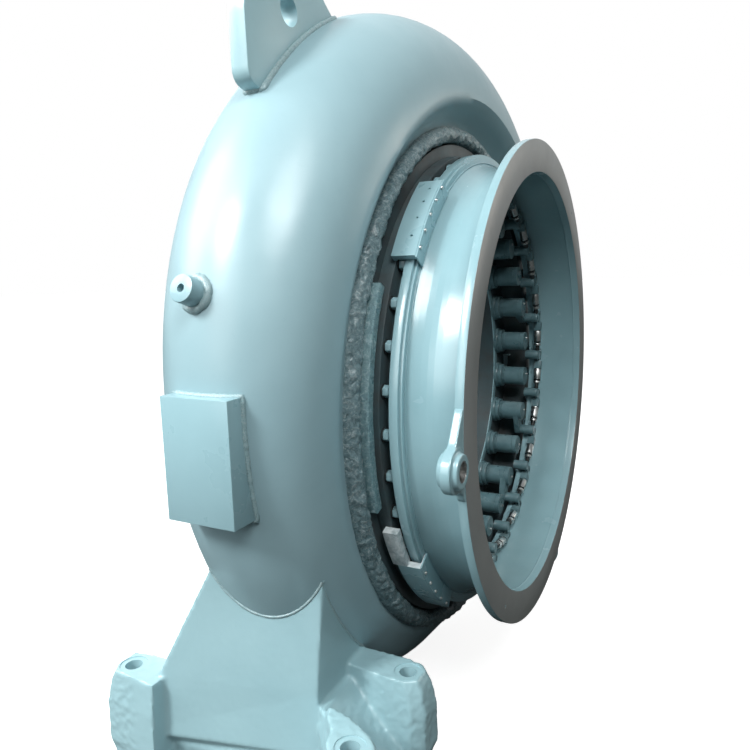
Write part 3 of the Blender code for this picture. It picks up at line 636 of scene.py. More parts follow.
def weld_seam(shape: Shape, path: Sequence[Vector], radius: float, closed: bool = False, seed: int = 1,
              sides: int = 8) -> None:
    """Add a rippled weld bead along a path.

    Args:
        shape: the shape to add to.
        path: points along the bead.
        radius: its radius.
        closed: whether the path closes on itself.
        seed: start of its ripple.
        sides: sides of its section.
    """
    draw = random.Random(seed)
    loops = []
    count = len(path)
    for index, point in enumerate(path):
        ahead = path[(index + 1) % count] if closed or index < count - 1 else point
        behind = path[index - 1] if closed or index > 0 else point
        turn = (ahead - behind).to_track_quat("Z", "Y").to_matrix().to_4x4()
        size = radius * (0.86 + 0.28 * draw.random())
        made = bmesh.ops.create_circle(shape, cap_ends=False, segments=sides, radius=size,
                                       matrix=Matrix.Translation(point) @ turn)
        loops.append(list({edge for vert in made["verts"] for edge in vert.link_edges}))
    pairs = list(zip(loops, loops[1:])) + ([(loops[-1], loops[0])] if closed else [])
    faces = []
    for first, second in pairs:
        faces += bmesh.ops.bridge_loops(shape, edges=first + second)["faces"]
    if not closed:
        for loop in (loops[0], loops[-1]):
            faces += bmesh.ops.holes_fill(shape, edges=loop)["faces"]
    bmesh.ops.recalc_face_normals(shape, faces=faces)


def along(points: Sequence[Vector], pitch: float) -> list[Vector]:
    """Give points at an even pitch along a path."""
    made, carried = [points[0]], 0.0
    for start, end in zip(points, points[1:]):
        length = (end - start).length
        place = pitch - carried
        while place < length:
            made.append(start.lerp(end, place / length))
            place += pitch
        carried = length - (place - pitch)
    return made


def roughen(shape: Shape, depth: float, scale: float, keep: Callable[[Vector], float] | None = None) -> None:
    """Push a shape's surface in and out by noise.

    Args:
        shape: the shape.
        depth: the largest push.
        scale: the noise's scale.
        keep: gives the share of the push at a point, if it isn't the same all over.
    """
    shape.normal_update()
    for vert in shape.verts:
        share = 1.0 if keep is None else keep(vert.co)
        if share:
            push = noise.fractal(vert.co * scale, 0.9, 2.1, 4)
            vert.co += vert.normal * depth * share * push


def mesh_of(shape: Shape, name: str) -> bpy.types.Mesh:
    """Turn a shape into a mesh and free it."""
    mesh = bpy.data.meshes.new(name)
    shape.to_mesh(mesh)
    shape.free()
    return mesh


def after_modifiers(shape: Shape, name: str, settings: Callable[[bpy.types.Object], None]) -> Shape:
    """Run modifiers on a shape.

    Args:
        shape: the shape, which is freed.
        name: name for the passing object.
        settings: adds the modifiers to the object that it is given.

    Returns:
        The shape that comes out.
    """
    passing = bpy.data.objects.new(name + "_raw", mesh_of(shape, name + "_raw"))
    bpy.context.scene.collection.objects.link(passing)
    settings(passing)
    bpy.context.view_layer.update()
    done = passing.evaluated_get(bpy.context.evaluated_depsgraph_get()).to_mesh()
    made = bmesh.new()
    made.from_mesh(done)
    bpy.data.objects.remove(passing, do_unlink=True)
    return made


def cut_away(shape: Shape, cutter: Shape, name: str) -> Shape:
    """Cut a shape by another, and free both."""
    tool = bpy.data.objects.new(name + "_cutter", mesh_of(cutter, name + "_cutter"))
    bpy.context.scene.collection.objects.link(tool)

    def settings(passing: bpy.types.Object) -> None:
        """Add the cut."""
        boolean = passing.modifiers.new("cut", "BOOLEAN")
        boolean.operation = "DIFFERENCE"
        boolean.object = tool

    made = after_modifiers(shape, name, settings)
    bpy.data.objects.remove(tool, do_unlink=True)
    return made


def remeshed(shape: Shape, name: str, voxel: float, rounds: int) -> Shape:
    """Fuse a shape into one skin and smooth it, and free the old one.

    Args:
        shape: overlapping closed solids.
        name: name for the passing object.
        voxel: size of the skin's faces.
        rounds: rounds of smoothing.

    Returns:
        The fused skin.
    """
    def settings(passing: bpy.types.Object) -> None:
        """Add the remesh."""
        remesh = passing.modifiers.new("fuse", "REMESH")
        remesh.mode = "VOXEL"
        remesh.voxel_size = voxel

    made = after_modifiers(shape, name, settings)
    for _ in range(rounds):
        bmesh.ops.smooth_vert(made, verts=made.verts, factor=0.5, use_axis_x=True, use_axis_y=True, use_axis_z=True)
    return made


def add_piece(name: str, shape: Shape, finish: Enamel | BareMetal, rides_on: str = "root",
              stands_for: Sequence[str] = (), sharp: float = 32.0) -> bpy.types.Object:
    """Finish a shape as a piece of the turbine.

    Args:
        name: the piece's name.
        shape: its shape in the shaft's frame, which is freed.
        finish: its finish.
        rides_on: the body that it moves with.
        stands_for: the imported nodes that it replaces.
        sharp: the angle past which its edges stay sharp, in degrees.

    Returns:
        The piece.
    """
    bmesh.ops.translate(shape, verts=shape.verts, vec=SHAFT)
    mesh = mesh_of(shape, name)
    mesh.shade_smooth()
    mesh.set_sharp_from_angle(angle=math.radians(sharp))
    mesh.materials.append(finish.material())
    piece = bpy.data.objects.new(name, mesh)
    bpy.context.scene.collection.objects.link(piece)
    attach(piece, rides_on)
    if stands_for:
        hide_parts(*stands_for)
    LOG.info("%s: %d faces on %s", name, len(mesh.polygons), rides_on)
    return piece


@dataclass
class Spiral:
    """The spiral casing: the snail-shaped tube, its collars, bead and boss."""

    x: float = -0.466
    offset: float = 0.555
    growth: float = 0.95
    sections: tuple[Point, ...] = ((342, 0.140), (315, 0.158), (270, 0.178), (225, 0.197), (180, 0.218),
                                   (135, 0.249), (90, 0.275), (45, 0.288), (0, 0.293))
    sides: int = 96
    step: int = 3
    skirt: Point = (-0.2570, 0.7590)
    hollow: tuple[float, float, float] = (0.085, 0.075, 0.024)
    bore: float = 0.5600
    channel: tuple[float, float, float] = (-0.4102, -0.5222, 0.644)
    seat: Point = (-0.2471, 0.7035)
    spigot: Point = (0.6335, -0.3150)
    rear_spigot: Point = (0.6653, -0.6154)
    bead: tuple[Point, ...] = ((-0.300, 0.7150), (-0.2480, 0.7150), (-0.2410, 0.7170), (-0.2350, 0.7225),
                               (-0.2318, 0.7300), (-0.2312, 0.7375), (-0.2335, 0.7450), (-0.2390, 0.7520),
                               (-0.2470, 0.7575), (-0.2600, 0.7610), (-0.300, 0.7610))

    def radius(self, degrees: float) -> float:
        """Give the section's radius at an angle, on a smooth curve through the named sections."""
        angles = [angle for angle, _ in self.sections]
        sizes = [size for _, size in self.sections]
        index = min(max(sum(angle >= degrees for angle in angles) - 1, 0), len(angles) - 2)
        share = (angles[index] - degrees) / (angles[index] - angles[index + 1])

        def slope(at: int) -> float:
            """Give the curve's slope at a named section, per span."""
            low, high = max(at - 1, 0), min(at + 1, len(sizes) - 1)
            return (sizes[high] - sizes[low]) / (high - low)

        start, end = sizes[index], sizes[index + 1]
        cube, square = share ** 3, share ** 2
        return ((2 * cube - 3 * square + 1) * start + (cube - 2 * square + share) * slope(index)
                + (3 * square - 2 * cube) * end + (cube - square) * slope(index + 1))

    def centre(self, degrees: float) -> float:
        """Give the section centre's distance from the shaft."""
        return self.offset + self.growth * self.radius(degrees)

    def outer(self, degrees: float, x: float) -> float:
        """Give the outer surface's distance from the shaft at an angle and an x."""
        across = max(self.radius(degrees) ** 2 - (x - self.x) ** 2, 0.0)
        return self.centre(degrees) + math.sqrt(across)

    def holds(self, point: Vector) -> bool:
        """Tell whether a point is inside the tube."""
        degrees = math.degrees(math.atan2(point.z, point.y)) % 360
        if degrees > self.sections[0][0]:
            return False
        out = math.hypot(point.y, point.z) - self.centre(degrees)
        away, turn = math.hypot(point.x - self.x, out), math.atan2(out, point.x - self.x) % TURN
        x, edge = self.skin(degrees, turn)
        return away < math.hypot(x - self.x, edge - self.centre(degrees))

    def surface(self, outside: Vector, inside: Vector) -> Vector:
        """Find where a line from outside to inside meets the tube."""
        for _ in range(24):
            middle = (outside + inside) / 2
            if self.holds(middle):
                inside = middle
            else:
                outside = middle
        return (outside + inside) / 2

    def skin(self, degrees: float, turn: float) -> Point:
        """Give a point of the section's outline.

        A small section runs straight on to the bead, and a large one is hollowed round it.

        Args:
            degrees: the section's angle round the shaft.
            turn: the point's angle round the section, from the front outwards, in radians.

        Returns:
            The point's x and its distance from the shaft.
        """
        radius, centre = self.radius(degrees), self.centre(degrees)
        front, rim = self.skirt
        edge_reach = math.hypot(front - self.x, rim - centre)
        edge_turn = math.atan2(rim - centre, front - self.x)
        reach = radius
        if edge_reach > radius:
            tangent = edge_turn + math.acos(radius / edge_reach)
            if edge_turn <= turn < tangent:
                reach = radius / math.cos(tangent - turn)
        x, out = self.x + reach * math.cos(turn), centre + reach * math.sin(turn)
        width, rise, ease = self.hollow
        share = min(max((out - rim) / width, 0.0), 1.0)
        limit = front + rise * share * share * (3 - 2 * share) + 1.2 * max(out - rim - 0.8 * width, 0.0)
        blend = min(max(0.5 + 0.5 * (limit - x) / ease, 0.0), 1.0)
        return limit + (x - limit) * blend - ease * blend * (1 - blend), out

    def tube(self) -> Shape:
        """Loft the tube from the tongue round to the inlet side."""
        shape = bmesh.new()
        loops = []
        first, last = self.sections[0][0], self.sections[-1][0]
        for degrees in range(first, last - 1, -self.step):
            made = bmesh.ops.create_circle(shape, cap_ends=False, segments=self.sides, radius=1.0)["verts"]
            for vert in made:
                x, out = self.skin(degrees, math.atan2(vert.co.y, vert.co.x) % TURN)
                vert.co = polar(out, degrees, x)
            loops.append(list({edge for vert in made for edge in vert.link_edges}))
        for one, other in zip(loops, loops[1:]):
            bmesh.ops.bridge_loops(shape, edges=one + other)
        for loop in (loops[0], loops[-1]):
            bmesh.ops.holes_fill(shape, edges=loop)
        bmesh.ops.recalc_face_normals(shape, faces=shape.faces)
        return shape

    def build(self) -> None:
        """Build and finish the spiral's pieces."""
        inner, under_bead = self.channel[2] + 0.030, 0.745
        cutter = bmesh.new()
        turned(cutter, [(0.1, 0), (0.1, under_bead), (self.bead[0][0], under_bead), (self.bead[0][0], inner),
                        (-0.62, inner), (-0.62, 0.70), (-1.0, 0.70), (-1.0, 0)], 144, closed=False)
        shell = cut_away(self.tube(), cutter, "spiral")
        add_piece("spiral_shell", shell, Finishes.spiral, stands_for=["spiral_casing"])
        self.build_stay_ring()
        self.build_bead()
        self.build_socket()

    def build_stay_ring(self) -> None:
        """Build the ring that carries both covers, with the guide vane channel in it."""
        front, rear, depth = self.channel
        spigot, spigot_rear = self.spigot
        rear_spigot, rear_seat = self.rear_spigot
        seat_x, seat_radius = self.seat
        profile = [(seat_x, spigot), (seat_x, seat_radius + 0.006), (-0.300, seat_radius + 0.006), (-0.300, 0.780),
                   (-0.430, 0.780), (-0.430, 0.720), (-0.510, 0.720), (-0.510, 0.742), (-0.651, 0.742),
                   (-0.651, rear_spigot), (rear_seat, rear_spigot), (rear_seat, self.bore), (rear, self.bore),
                   (rear, depth), (front, depth), (front, self.bore), (spigot_rear, self.bore),
                   (spigot_rear, spigot)]
        shape = bmesh.new()
        turned(shape, rounded(profile, 0.002, arc=2))
        # The stay ring takes the well's near-black painted shade.
        add_piece("stay_ring", shape, Finishes.well)

    def build_bead(self) -> None:
        """Build the rough cast beads round the front seat and the rear one."""
        shape = bmesh.new()
        turned(shape, rounded(self.bead, 0.0035, arc=2), 1000)
        roughen(shape, 0.0048, 62.0, lambda at: min(max((at.x + 0.268) / 0.02, 0.0), 1.0))
        add_piece("front_bead", shape, Finishes.bead, sharp=60)
        rear = bmesh.new()
        turned(rear, rounded([(-0.600, 0.700), (-0.600, 0.752), (-0.640, 0.752), (-0.6515, 0.744),
                              (-0.6515, 0.700)], 0.006), 360)
        roughen(rear, 0.0012, 30.0)
        add_piece("rear_bead", rear, Finishes.cast, sharp=60)

    def build_socket(self) -> None:
        """Build the round socket boss with its bore and weld."""
        angle, x, top = 162.0, -0.480, 1.0465
        shape = bmesh.new()
        foot = self.outer(angle, x)
        round_bar(shape, polar(foot - 0.03, angle, x), polar(top, angle, x), 0.0300, 0.0292, 48, 0.0022)
        cutter = bmesh.new()
        round_bar(cutter, polar(top - 0.06, angle, x), polar(top + 0.02, angle, x), 0.0088, sides=32)
        add_piece("socket_boss", cut_away(shape, cutter, "socket"), Finishes.plate)
        seam = bmesh.new()
        path = []
        for step in range(40):
            turn = TURN * step / 40
            side, up = 0.0325 * math.cos(turn), 0.0325 * math.sin(turn)
            at = angle + math.degrees(up / foot)
            path.append(polar(self.outer(at, x + side) - 0.001, at, x + side))
        weld_seam(seam, path, 0.0105, True, 5)
        add_piece("socket_weld", seam, Finishes.weld, sharp=70)


@dataclass
class Lug:
    """A lifting lug on the shoulder of the spiral."""

    name: str
    outline: tuple[Point, ...] = ((-0.772, 0.760), (-0.775, 0.925), (-0.745, 0.975), (-0.690, 1.020),
                                  (-0.560, 1.068), (-0.490, 1.064), (-0.452, 1.026), (-0.388, 0.985),
                                  (-0.480, 0.860), (-0.650, 0.730))
    hole: Point = (-0.605, 0.9485)
    hole_radius: float = 0.035
    x_front: float = -0.455
    x_rear: float = -0.5005
    stands_for: tuple[str, ...] = ()
    mirrored: bool = False
    shift: Point = (0.03, 0.052)

    def moved(self, point: Point) -> Point:
        """Give a point of the near lug, or its mirror image on the far side."""
        return (self.shift[0] - point[0], self.shift[1] + point[1]) if self.mirrored else point

    def build(self, spiral: Spiral) -> None:
        """Build the lug and the weld at its foot.

        Args:
            spiral: the spiral that it stands on.
        """
        shape = bmesh.new()
        flat_plate(shape, rounded([self.moved(point) for point in self.outline], 0.03, arc=5), self.x_front,
                   self.x_rear, 0.0025)
        y, z = self.moved(self.hole)
        cutter = bmesh.new()
        round_bar(cutter, Vector((-0.4, y, z)), Vector((-0.56, y, z)), self.hole_radius, sides=48)
        add_piece(self.name, cut_away(shape, cutter, self.name), Finishes.foot, stands_for=self.stands_for)
        self.build_weld(spiral)

    def build_weld(self, spiral: Spiral) -> None:
        """Build the weld round the lug's foot."""
        low, high = (46.5, 72.5) if self.mirrored else (111.8, 134.0)
        angles = [low + (high - low) * step / 70 for step in range(71)]
        path = [polar(spiral.outer(angle, self.x_front), angle, self.x_front + 0.002) for angle in angles]
        path += [polar(spiral.outer(high, x), high, x) for x in (-0.47, -0.485)]
        path += [polar(spiral.outer(angle, self.x_rear), angle, self.x_rear - 0.002) for angle in reversed(angles)]
        path += [polar(spiral.outer(low, x), low, x) for x in (-0.485, -0.47)]
        seam = bmesh.new()
        weld_seam(seam, along(path + path[:1], 0.006)[:-1], 0.0085, True, 7)
        add_piece(self.name + "_weld", seam, Finishes.weld, sharp=70)


@dataclass
class Pad:
    """The flat pad on the near side of the spiral."""

    x_left: float = -0.546
    x_right: float = -0.371
    z_low: float = -0.161
    z_high: float = 0.105
    face: float = -1.008
    lean: float = 0.0
    depth: float = 0.075

    def build(self, spiral: Spiral) -> None:
        """Build the pad and the weld round it."""
        shape = bmesh.new()
        rim = (self.x_left, self.x_right, self.face, self.face + self.depth)
        block(shape, (*rim, self.z_low), (*rim, self.z_high), 0.0022)
        add_piece("side_pad_plate", shape, Finishes.plate, stands_for=["side_pad"])
        corners = [(self.x_left, self.z_low), (self.x_right, self.z_low), (self.x_right, self.z_high),
                   (self.x_left, self.z_high)]
        path = []
        for (x0, z0), (x1, z1) in zip(corners, corners[1:] + corners[:1]):
            for step in range(40):
                share = step / 40
                x, z = x0 + (x1 - x0) * share, z0 + (z1 - z0) * share
                path.append(spiral.surface(Vector((x, self.face - 0.05, z)), Vector((x, self.face + 0.2, z))))
        seam = bmesh.new()
        weld_seam(seam, along(path + path[:1], 0.005)[:-1], 0.0065, True, 9)
        add_piece("side_pad_weld", seam, Finishes.weld, sharp=70)


@dataclass
class Foot:
    """The foot on the near side, with four bosses for foundation bolts."""

    floor: float = -0.931
    left: float = -0.8572
    boss_top: float = -0.609
    back: float = -0.602
    bore: float = 0.021
    spot_face: float = 0.034
    flare: tuple[tuple[float, float, float], ...] = (
        (-0.609, 0.0, 0.0), (-0.638, 0.015, 0.003), (-0.690, 0.025, 0.008), (-0.791, 0.025, 0.012),
        (-0.824, 0.012, 0.008), (-0.931, 0.012, 0.008))
    ledges: tuple[tuple[Point, tuple[Point, ...]], ...] = (
        ((-0.7945, -0.917), ((0.112, -0.049), (0.0285, -0.043), (-0.0205, -0.040), (-0.0375, -0.010),
                             (-0.0375, 0.042), (0.0125, 0.052), (0.112, 0.054))),
        ((-0.160, -0.9436), ((-0.170, 0.150), (-0.150, 0.104), (-0.100, 0.044), (-0.048, -0.018),
                             (-0.020, -0.047), (0.022, -0.048), (0.046, -0.020), (0.046, 0.020), (0.020, 0.046),
                             (-0.050, 0.082))),
        ((-0.160, -0.658), ((-0.150, -0.033), (-0.044, -0.043), (0.006, -0.046), (0.035, -0.027),
                            (0.038, 0.021), (0.019, 0.043), (-0.036, 0.052), (-0.150, 0.048))),
        ((-0.7945, -0.658), ((0.150, 0.048), (0.036, 0.052), (-0.019, 0.043), (-0.038, 0.021),
                             (-0.035, -0.027), (-0.006, -0.046), (0.044, -0.043), (0.150, -0.033))))

    sloping: Point = (-0.160, -0.9436)
    slope: dict[float, float] = field(default_factory=lambda: {-0.609: 0.62, -0.638: 0.74})

    def body(self) -> list[tuple[float, Sequence[Point]]]:
        """Give the levels of the foot's body, from inside the spiral down to the floor."""
        return [(-0.311, ((-0.298, -0.801), (-0.555, -0.871), (-0.580, self.back), (-0.298, self.back))),
                (self.boss_top, ((-0.309, -0.828), (-0.701, -0.933), (-0.722, self.back), (-0.309, self.back))),
                (-0.756, ((-0.305, -0.842), (-0.755, -0.955), (-0.782, self.back), (-0.305, self.back))),
                (-0.791, ((-0.270, -0.850), (-0.748, -0.925), (-0.782, self.back), (-0.270, self.back))),
                (self.floor, ((-0.252, -0.880), (-0.748, -0.896), (-0.782, -0.616), (-0.252, -0.616)))]

    def solids(self) -> Shape:
        """Give the foot's body and its four bolt ledges as overlapping solids."""
        shape = bmesh.new()
        stacked(shape, self.body())
        for (x, y), outline in self.ledges:
            outward = -1 if x < -0.5 else 1
            levels = []
            for z, flare, spread in self.flare:
                reach = self.slope.get(z, 1.0) if (x, y) == self.sloping else 1.0
                corners = [(x + along * (reach if along * outward < -0.09 else 1.0)
                            + outward * flare * (along * outward > 0),
                            y + across * (reach if along * outward < -0.09 else 1.0)
                            + math.copysign(spread, across)) for along, across in outline]
                levels.append((z, corners))
            stacked(shape, levels)
        stacked(shape, self.web())
        return shape

    def web(self) -> list[tuple[float, Sequence[Point]]]:
        """Give the levels of the sloping web between the two right bosses."""
        return [(z, ((-0.34, -0.80), (edge, front), (edge, -0.660), (-0.34, -0.660)))
                for z, edge, front in ((-0.640, -0.292, -0.840), (-0.720, -0.215, -0.900), (-0.790, -0.140, -0.950),
                                       (self.floor, -0.128, -0.955))]

    def rough_share(self, at: Vector) -> float:
        """Give how rough the casting is at a point: plain round a bolt, rough on the ledges' sides."""
        for (x, y), _ in self.ledges:
            if math.hypot(at.x - x, at.y - y) < self.spot_face + 0.002:
                return 0.0
        beside = max(-0.735 - at.x, at.x + 0.285)
        return 0.35 + 1.6 * min(max(beside / 0.03, 0.0), 1.0) * (at.z < self.boss_top + 0.02)

    def build(self, spiral: Spiral) -> None:
        """Build the foot, its weld to the spiral and its bored and spot-faced holes."""
        holes = bmesh.new()
        profile = [(self.boss_top + 0.05, 0.0), (self.boss_top + 0.05, self.spot_face),
                   (self.boss_top - 0.0022, self.spot_face), (self.boss_top - 0.0022, self.bore),
                   (self.floor - 0.05, self.bore), (self.floor - 0.05, 0.0)]
        for (x, y), _ in self.ledges:
            hole = bmesh.new()
            turned(hole, profile, 64, closed=False)
            upright = Matrix(((0, 1, 0, x), (0, 0, 1, y), (1, 0, 0, 0), (0, 0, 0, 1)))
            bmesh.ops.transform(hole, matrix=upright, verts=hole.verts)
            merge(holes, hole)
        shape = cut_away(remeshed(self.solids(), "foot", 0.0050, 1), holes, "foot")
        roughen(shape, 0.0008, 66.0, self.rough_share)
        for vert in shape.verts:
            vert.co.z = max(vert.co.z, self.floor)
            vert.co.x = max(vert.co.x, self.left)
        add_piece("foot_casting", shape, Finishes.foot, stands_for=["support_foot"], sharp=45)
        self.build_weld(spiral)

    def build_weld(self, spiral: Spiral) -> None:
        """Build the weld where the foot meets the spiral."""
        (high, (top_right, top_left, *_)), (low, (low_right, low_left, *_)) = self.body()[:2]
        path = []
        for step in range(41):
            share = step / 40
            start = Vector((*Vector(low_left).lerp(Vector(low_right), share), low))
            end = Vector((*Vector(top_left).lerp(Vector(top_right), share), high))
            path.append(spiral.surface(start, end))
        for step in range(1, 25):
            share = step / 24
            start = Vector((low_right[0], low_right[1] + 0.22 * share, low))
            path.append(spiral.surface(start, Vector((top_right[0], top_right[1] + 0.22 * share, high + 0.15))))
        seam = bmesh.new()
        weld_seam(seam, along(path, 0.004), 0.0036, False, 11)
        add_piece("foot_weld", seam, Finishes.weld, sharp=70)


@dataclass
class InletPipe:
    """The pipe that leaves downwards on the far side, with its flange."""

    x: float = -0.466
    y: float = 0.83335
    floor: float = -0.931
    radius: float = 0.2915
    bore: float = 0.277
    flange: float = 0.345
    thickness: float = 0.036
    bolts: int = 16

    def build(self) -> None:
        """Build the pipe, its flange, bolts and girth weld."""
        shape = bmesh.new()
        profile = [(self.floor, self.bore), (self.floor, self.flange), (self.floor + self.thickness, self.flange),
                   (self.floor + self.thickness, self.radius + 0.010),
                   (self.floor + self.thickness + 0.010, self.radius), (0.0, self.radius), (0.0, self.bore)]
        turned(shape, rounded(profile, 0.003, arc=2), 144)
        upright = Matrix(((0, 1, 0, self.x), (0, 0, 1, self.y), (1, 0, 0, 0), (0, 0, 0, 1)))
        bmesh.ops.transform(shape, matrix=upright, verts=shape.verts)
        add_piece("inlet_pipe_shell", shape, Finishes.spiral, stands_for=["inlet_pipe"])
        studs = bmesh.new()
        for index in range(self.bolts):
            turn = TURN * (index + 0.5) / self.bolts
            at = Vector((self.x + 0.322 * math.cos(turn), self.y + 0.322 * math.sin(turn),
                         self.floor + self.thickness))
            hex_bolt(studs, at, Vector((0, 0, 1)), 0.020)
            round_bar(studs, at, at + Vector((0, 0, 0.032)), 0.010, sides=14, bevel=0.001)
        add_piece("inlet_bolts", studs, Finishes.bolt)
        seam = bmesh.new()
        ring = [Vector((self.x + 0.2935 * math.cos(TURN * step / 300), self.y + 0.2935 * math.sin(TURN * step / 300),
                        0.0)) for step in range(300)]
        weld_seam(seam, ring, 0.005, True, 13)
        add_piece("girth_weld", seam, Finishes.weld, sharp=70)


@dataclass
class HeadCover:
    """The cover on the ring side, with its well, stem sleeves, rough rim and bolts."""

    front: float = -0.2079
    rear: float = -0.2468
    recess: float = -0.2110
    band_front: float = -0.2185
    band: Point = (0.6900, 0.7135)
    bands: tuple[tuple[float, float], ...] = ((153.4, 43.9), (-25.0, 50.0))
    well: float = 0.609
    plate: float = -0.294
    bore: float = 0.4725
    sleeve: float = 0.042
    sleeve_front: float = -0.2674
    bolts: int = 40

    def build(self, gear: "VaneGear") -> None:
        """Build the cover.

        Args:
            gear: the guide vane gear, whose stems run in the sleeves.
        """
        profile = [(self.recess, 0.6755), (self.rear, 0.6755), (self.rear, 0.6332), (-0.3147, 0.6332),
                   (-0.3147, 0.5597), (-0.4102, 0.5597), (-0.4102, self.bore), (self.plate, self.bore),
                   (self.plate, self.well), (self.front, self.well), (self.front, 0.636), (self.recess, 0.640)]
        shape = bmesh.new()
        turned(shape, rounded(profile, 0.0025, arc=3), 240)
        # The cover's body takes the well's near-black painted shade.
        add_piece("cover_body", shape, Finishes.well, stands_for=["head_cover"])
        face = bmesh.new()
        turned(face, rounded([(self.plate + 0.0006, self.bore - 0.0006), (self.plate + 0.0006, 0.50),
                              (self.plate - 0.003, 0.50), (self.plate - 0.003, self.bore - 0.0006)], 0.0006), 240)
        add_piece("cover_lip", face, Finishes.ring)
        sleeves = bmesh.new()
        for angle in gear.angles():
            centre = polar(gear.circle, angle)
            round_bar(sleeves, centre + Vector((self.plate - 0.002, 0, 0)),
                      centre + Vector((self.plate + 0.012, 0, 0)), self.sleeve + 0.006, self.sleeve + 0.004, 40, 0.002)
            round_bar(sleeves, centre + Vector((self.plate, 0, 0)), centre + Vector((self.sleeve_front, 0, 0)),
                      self.sleeve, sides=40, bevel=0.0015)
        add_piece("stem_sleeves", sleeves, Finishes.gear)
        self.build_rim()
        self.build_bolts()

    def build_rim(self) -> None:
        """Build the rough outer band, which is there on the near and the far side only."""
        inner, outer = self.band
        profile = [(self.band_front, inner), (self.band_front, outer), (self.rear, outer), (self.rear, 0.6758),
                   (self.band_front - 0.008, 0.6758), (self.band_front - 0.004, inner - 0.004)]
        shape = bmesh.new()
        for start, sweep in self.bands:
            turned(shape, rounded(profile, 0.0016, arc=2), 160, True, start, sweep)
        roughen(shape, 0.0006, 48.0)
        add_piece("cover_rim", shape, Finishes.rim, sharp=50)

    def build_bolts(self) -> None:
        """Build the bolts round the cover's flange, on dark washers."""
        shape, washers = bmesh.new(), bmesh.new()
        for index in range(self.bolts):
            seat = polar(0.6535, 360 / self.bolts * (index + 0.29), self.recess)
            round_bar(washers, seat, seat + Vector((0.0030, 0, 0)), 0.0182, sides=24)
            round_bar(shape, seat, seat + Vector((0.0165, 0, 0)), 0.0152, 0.0150, sides=6, bevel=0.0008)
            round_bar(shape, seat + Vector((0.0160, 0, 0)), seat + Vector((0.0178, 0, 0)), 0.0128, 0.0112, sides=12)
        add_piece("cover_bolts", shape, Finishes.plate)
        add_piece("cover_washers", washers, Finishes.black)


@dataclass
class RearCover:
    """The cover on the draft tube side."""

    def build(self) -> None:
        """Build the cover, its neck, its flange and its bolts."""
        profile = [(-0.5222, 0.5597), (-0.6157, 0.5597), (-0.6157, 0.665), (-0.651, 0.665), (-0.651, 0.476),
                   (-0.784, 0.476), (-0.784, 0.560), (-0.812, 0.560), (-0.812, 0.448), (-0.5222, 0.448)]
        shape = bmesh.new()
        turned(shape, rounded(profile, 0.003, arc=3), 240)
        add_piece("rear_cover_body", shape, Finishes.plate, stands_for=["rear_cover"])
        bolts = bmesh.new()
        for index in range(32):
            hex_bolt(bolts, polar(0.638, 11.25 * index, -0.651), Vector((-1, 0, 0)), 0.016)
        add_piece("rear_cover_bolts", bolts, Finishes.bolt)
        holes = bmesh.new()
        for index in range(16):
            angle = 22.5 * index + 11.25
            hex_bolt(holes, polar(0.518, angle, -0.784), Vector((1, 0, 0)), 0.018)
        add_piece("draft_flange_bolts", holes, Finishes.bolt)
        seam = bmesh.new()
        weld_seam(seam, [polar(0.478, step * 1.2, -0.6525) for step in range(300)], 0.0055, True, 15)
        weld_seam(seam, [polar(0.478, step * 1.2, -0.7825) for step in range(300)], 0.0055, True, 16)
        add_piece("rear_cover_welds", seam, Finishes.weld, sharp=70)


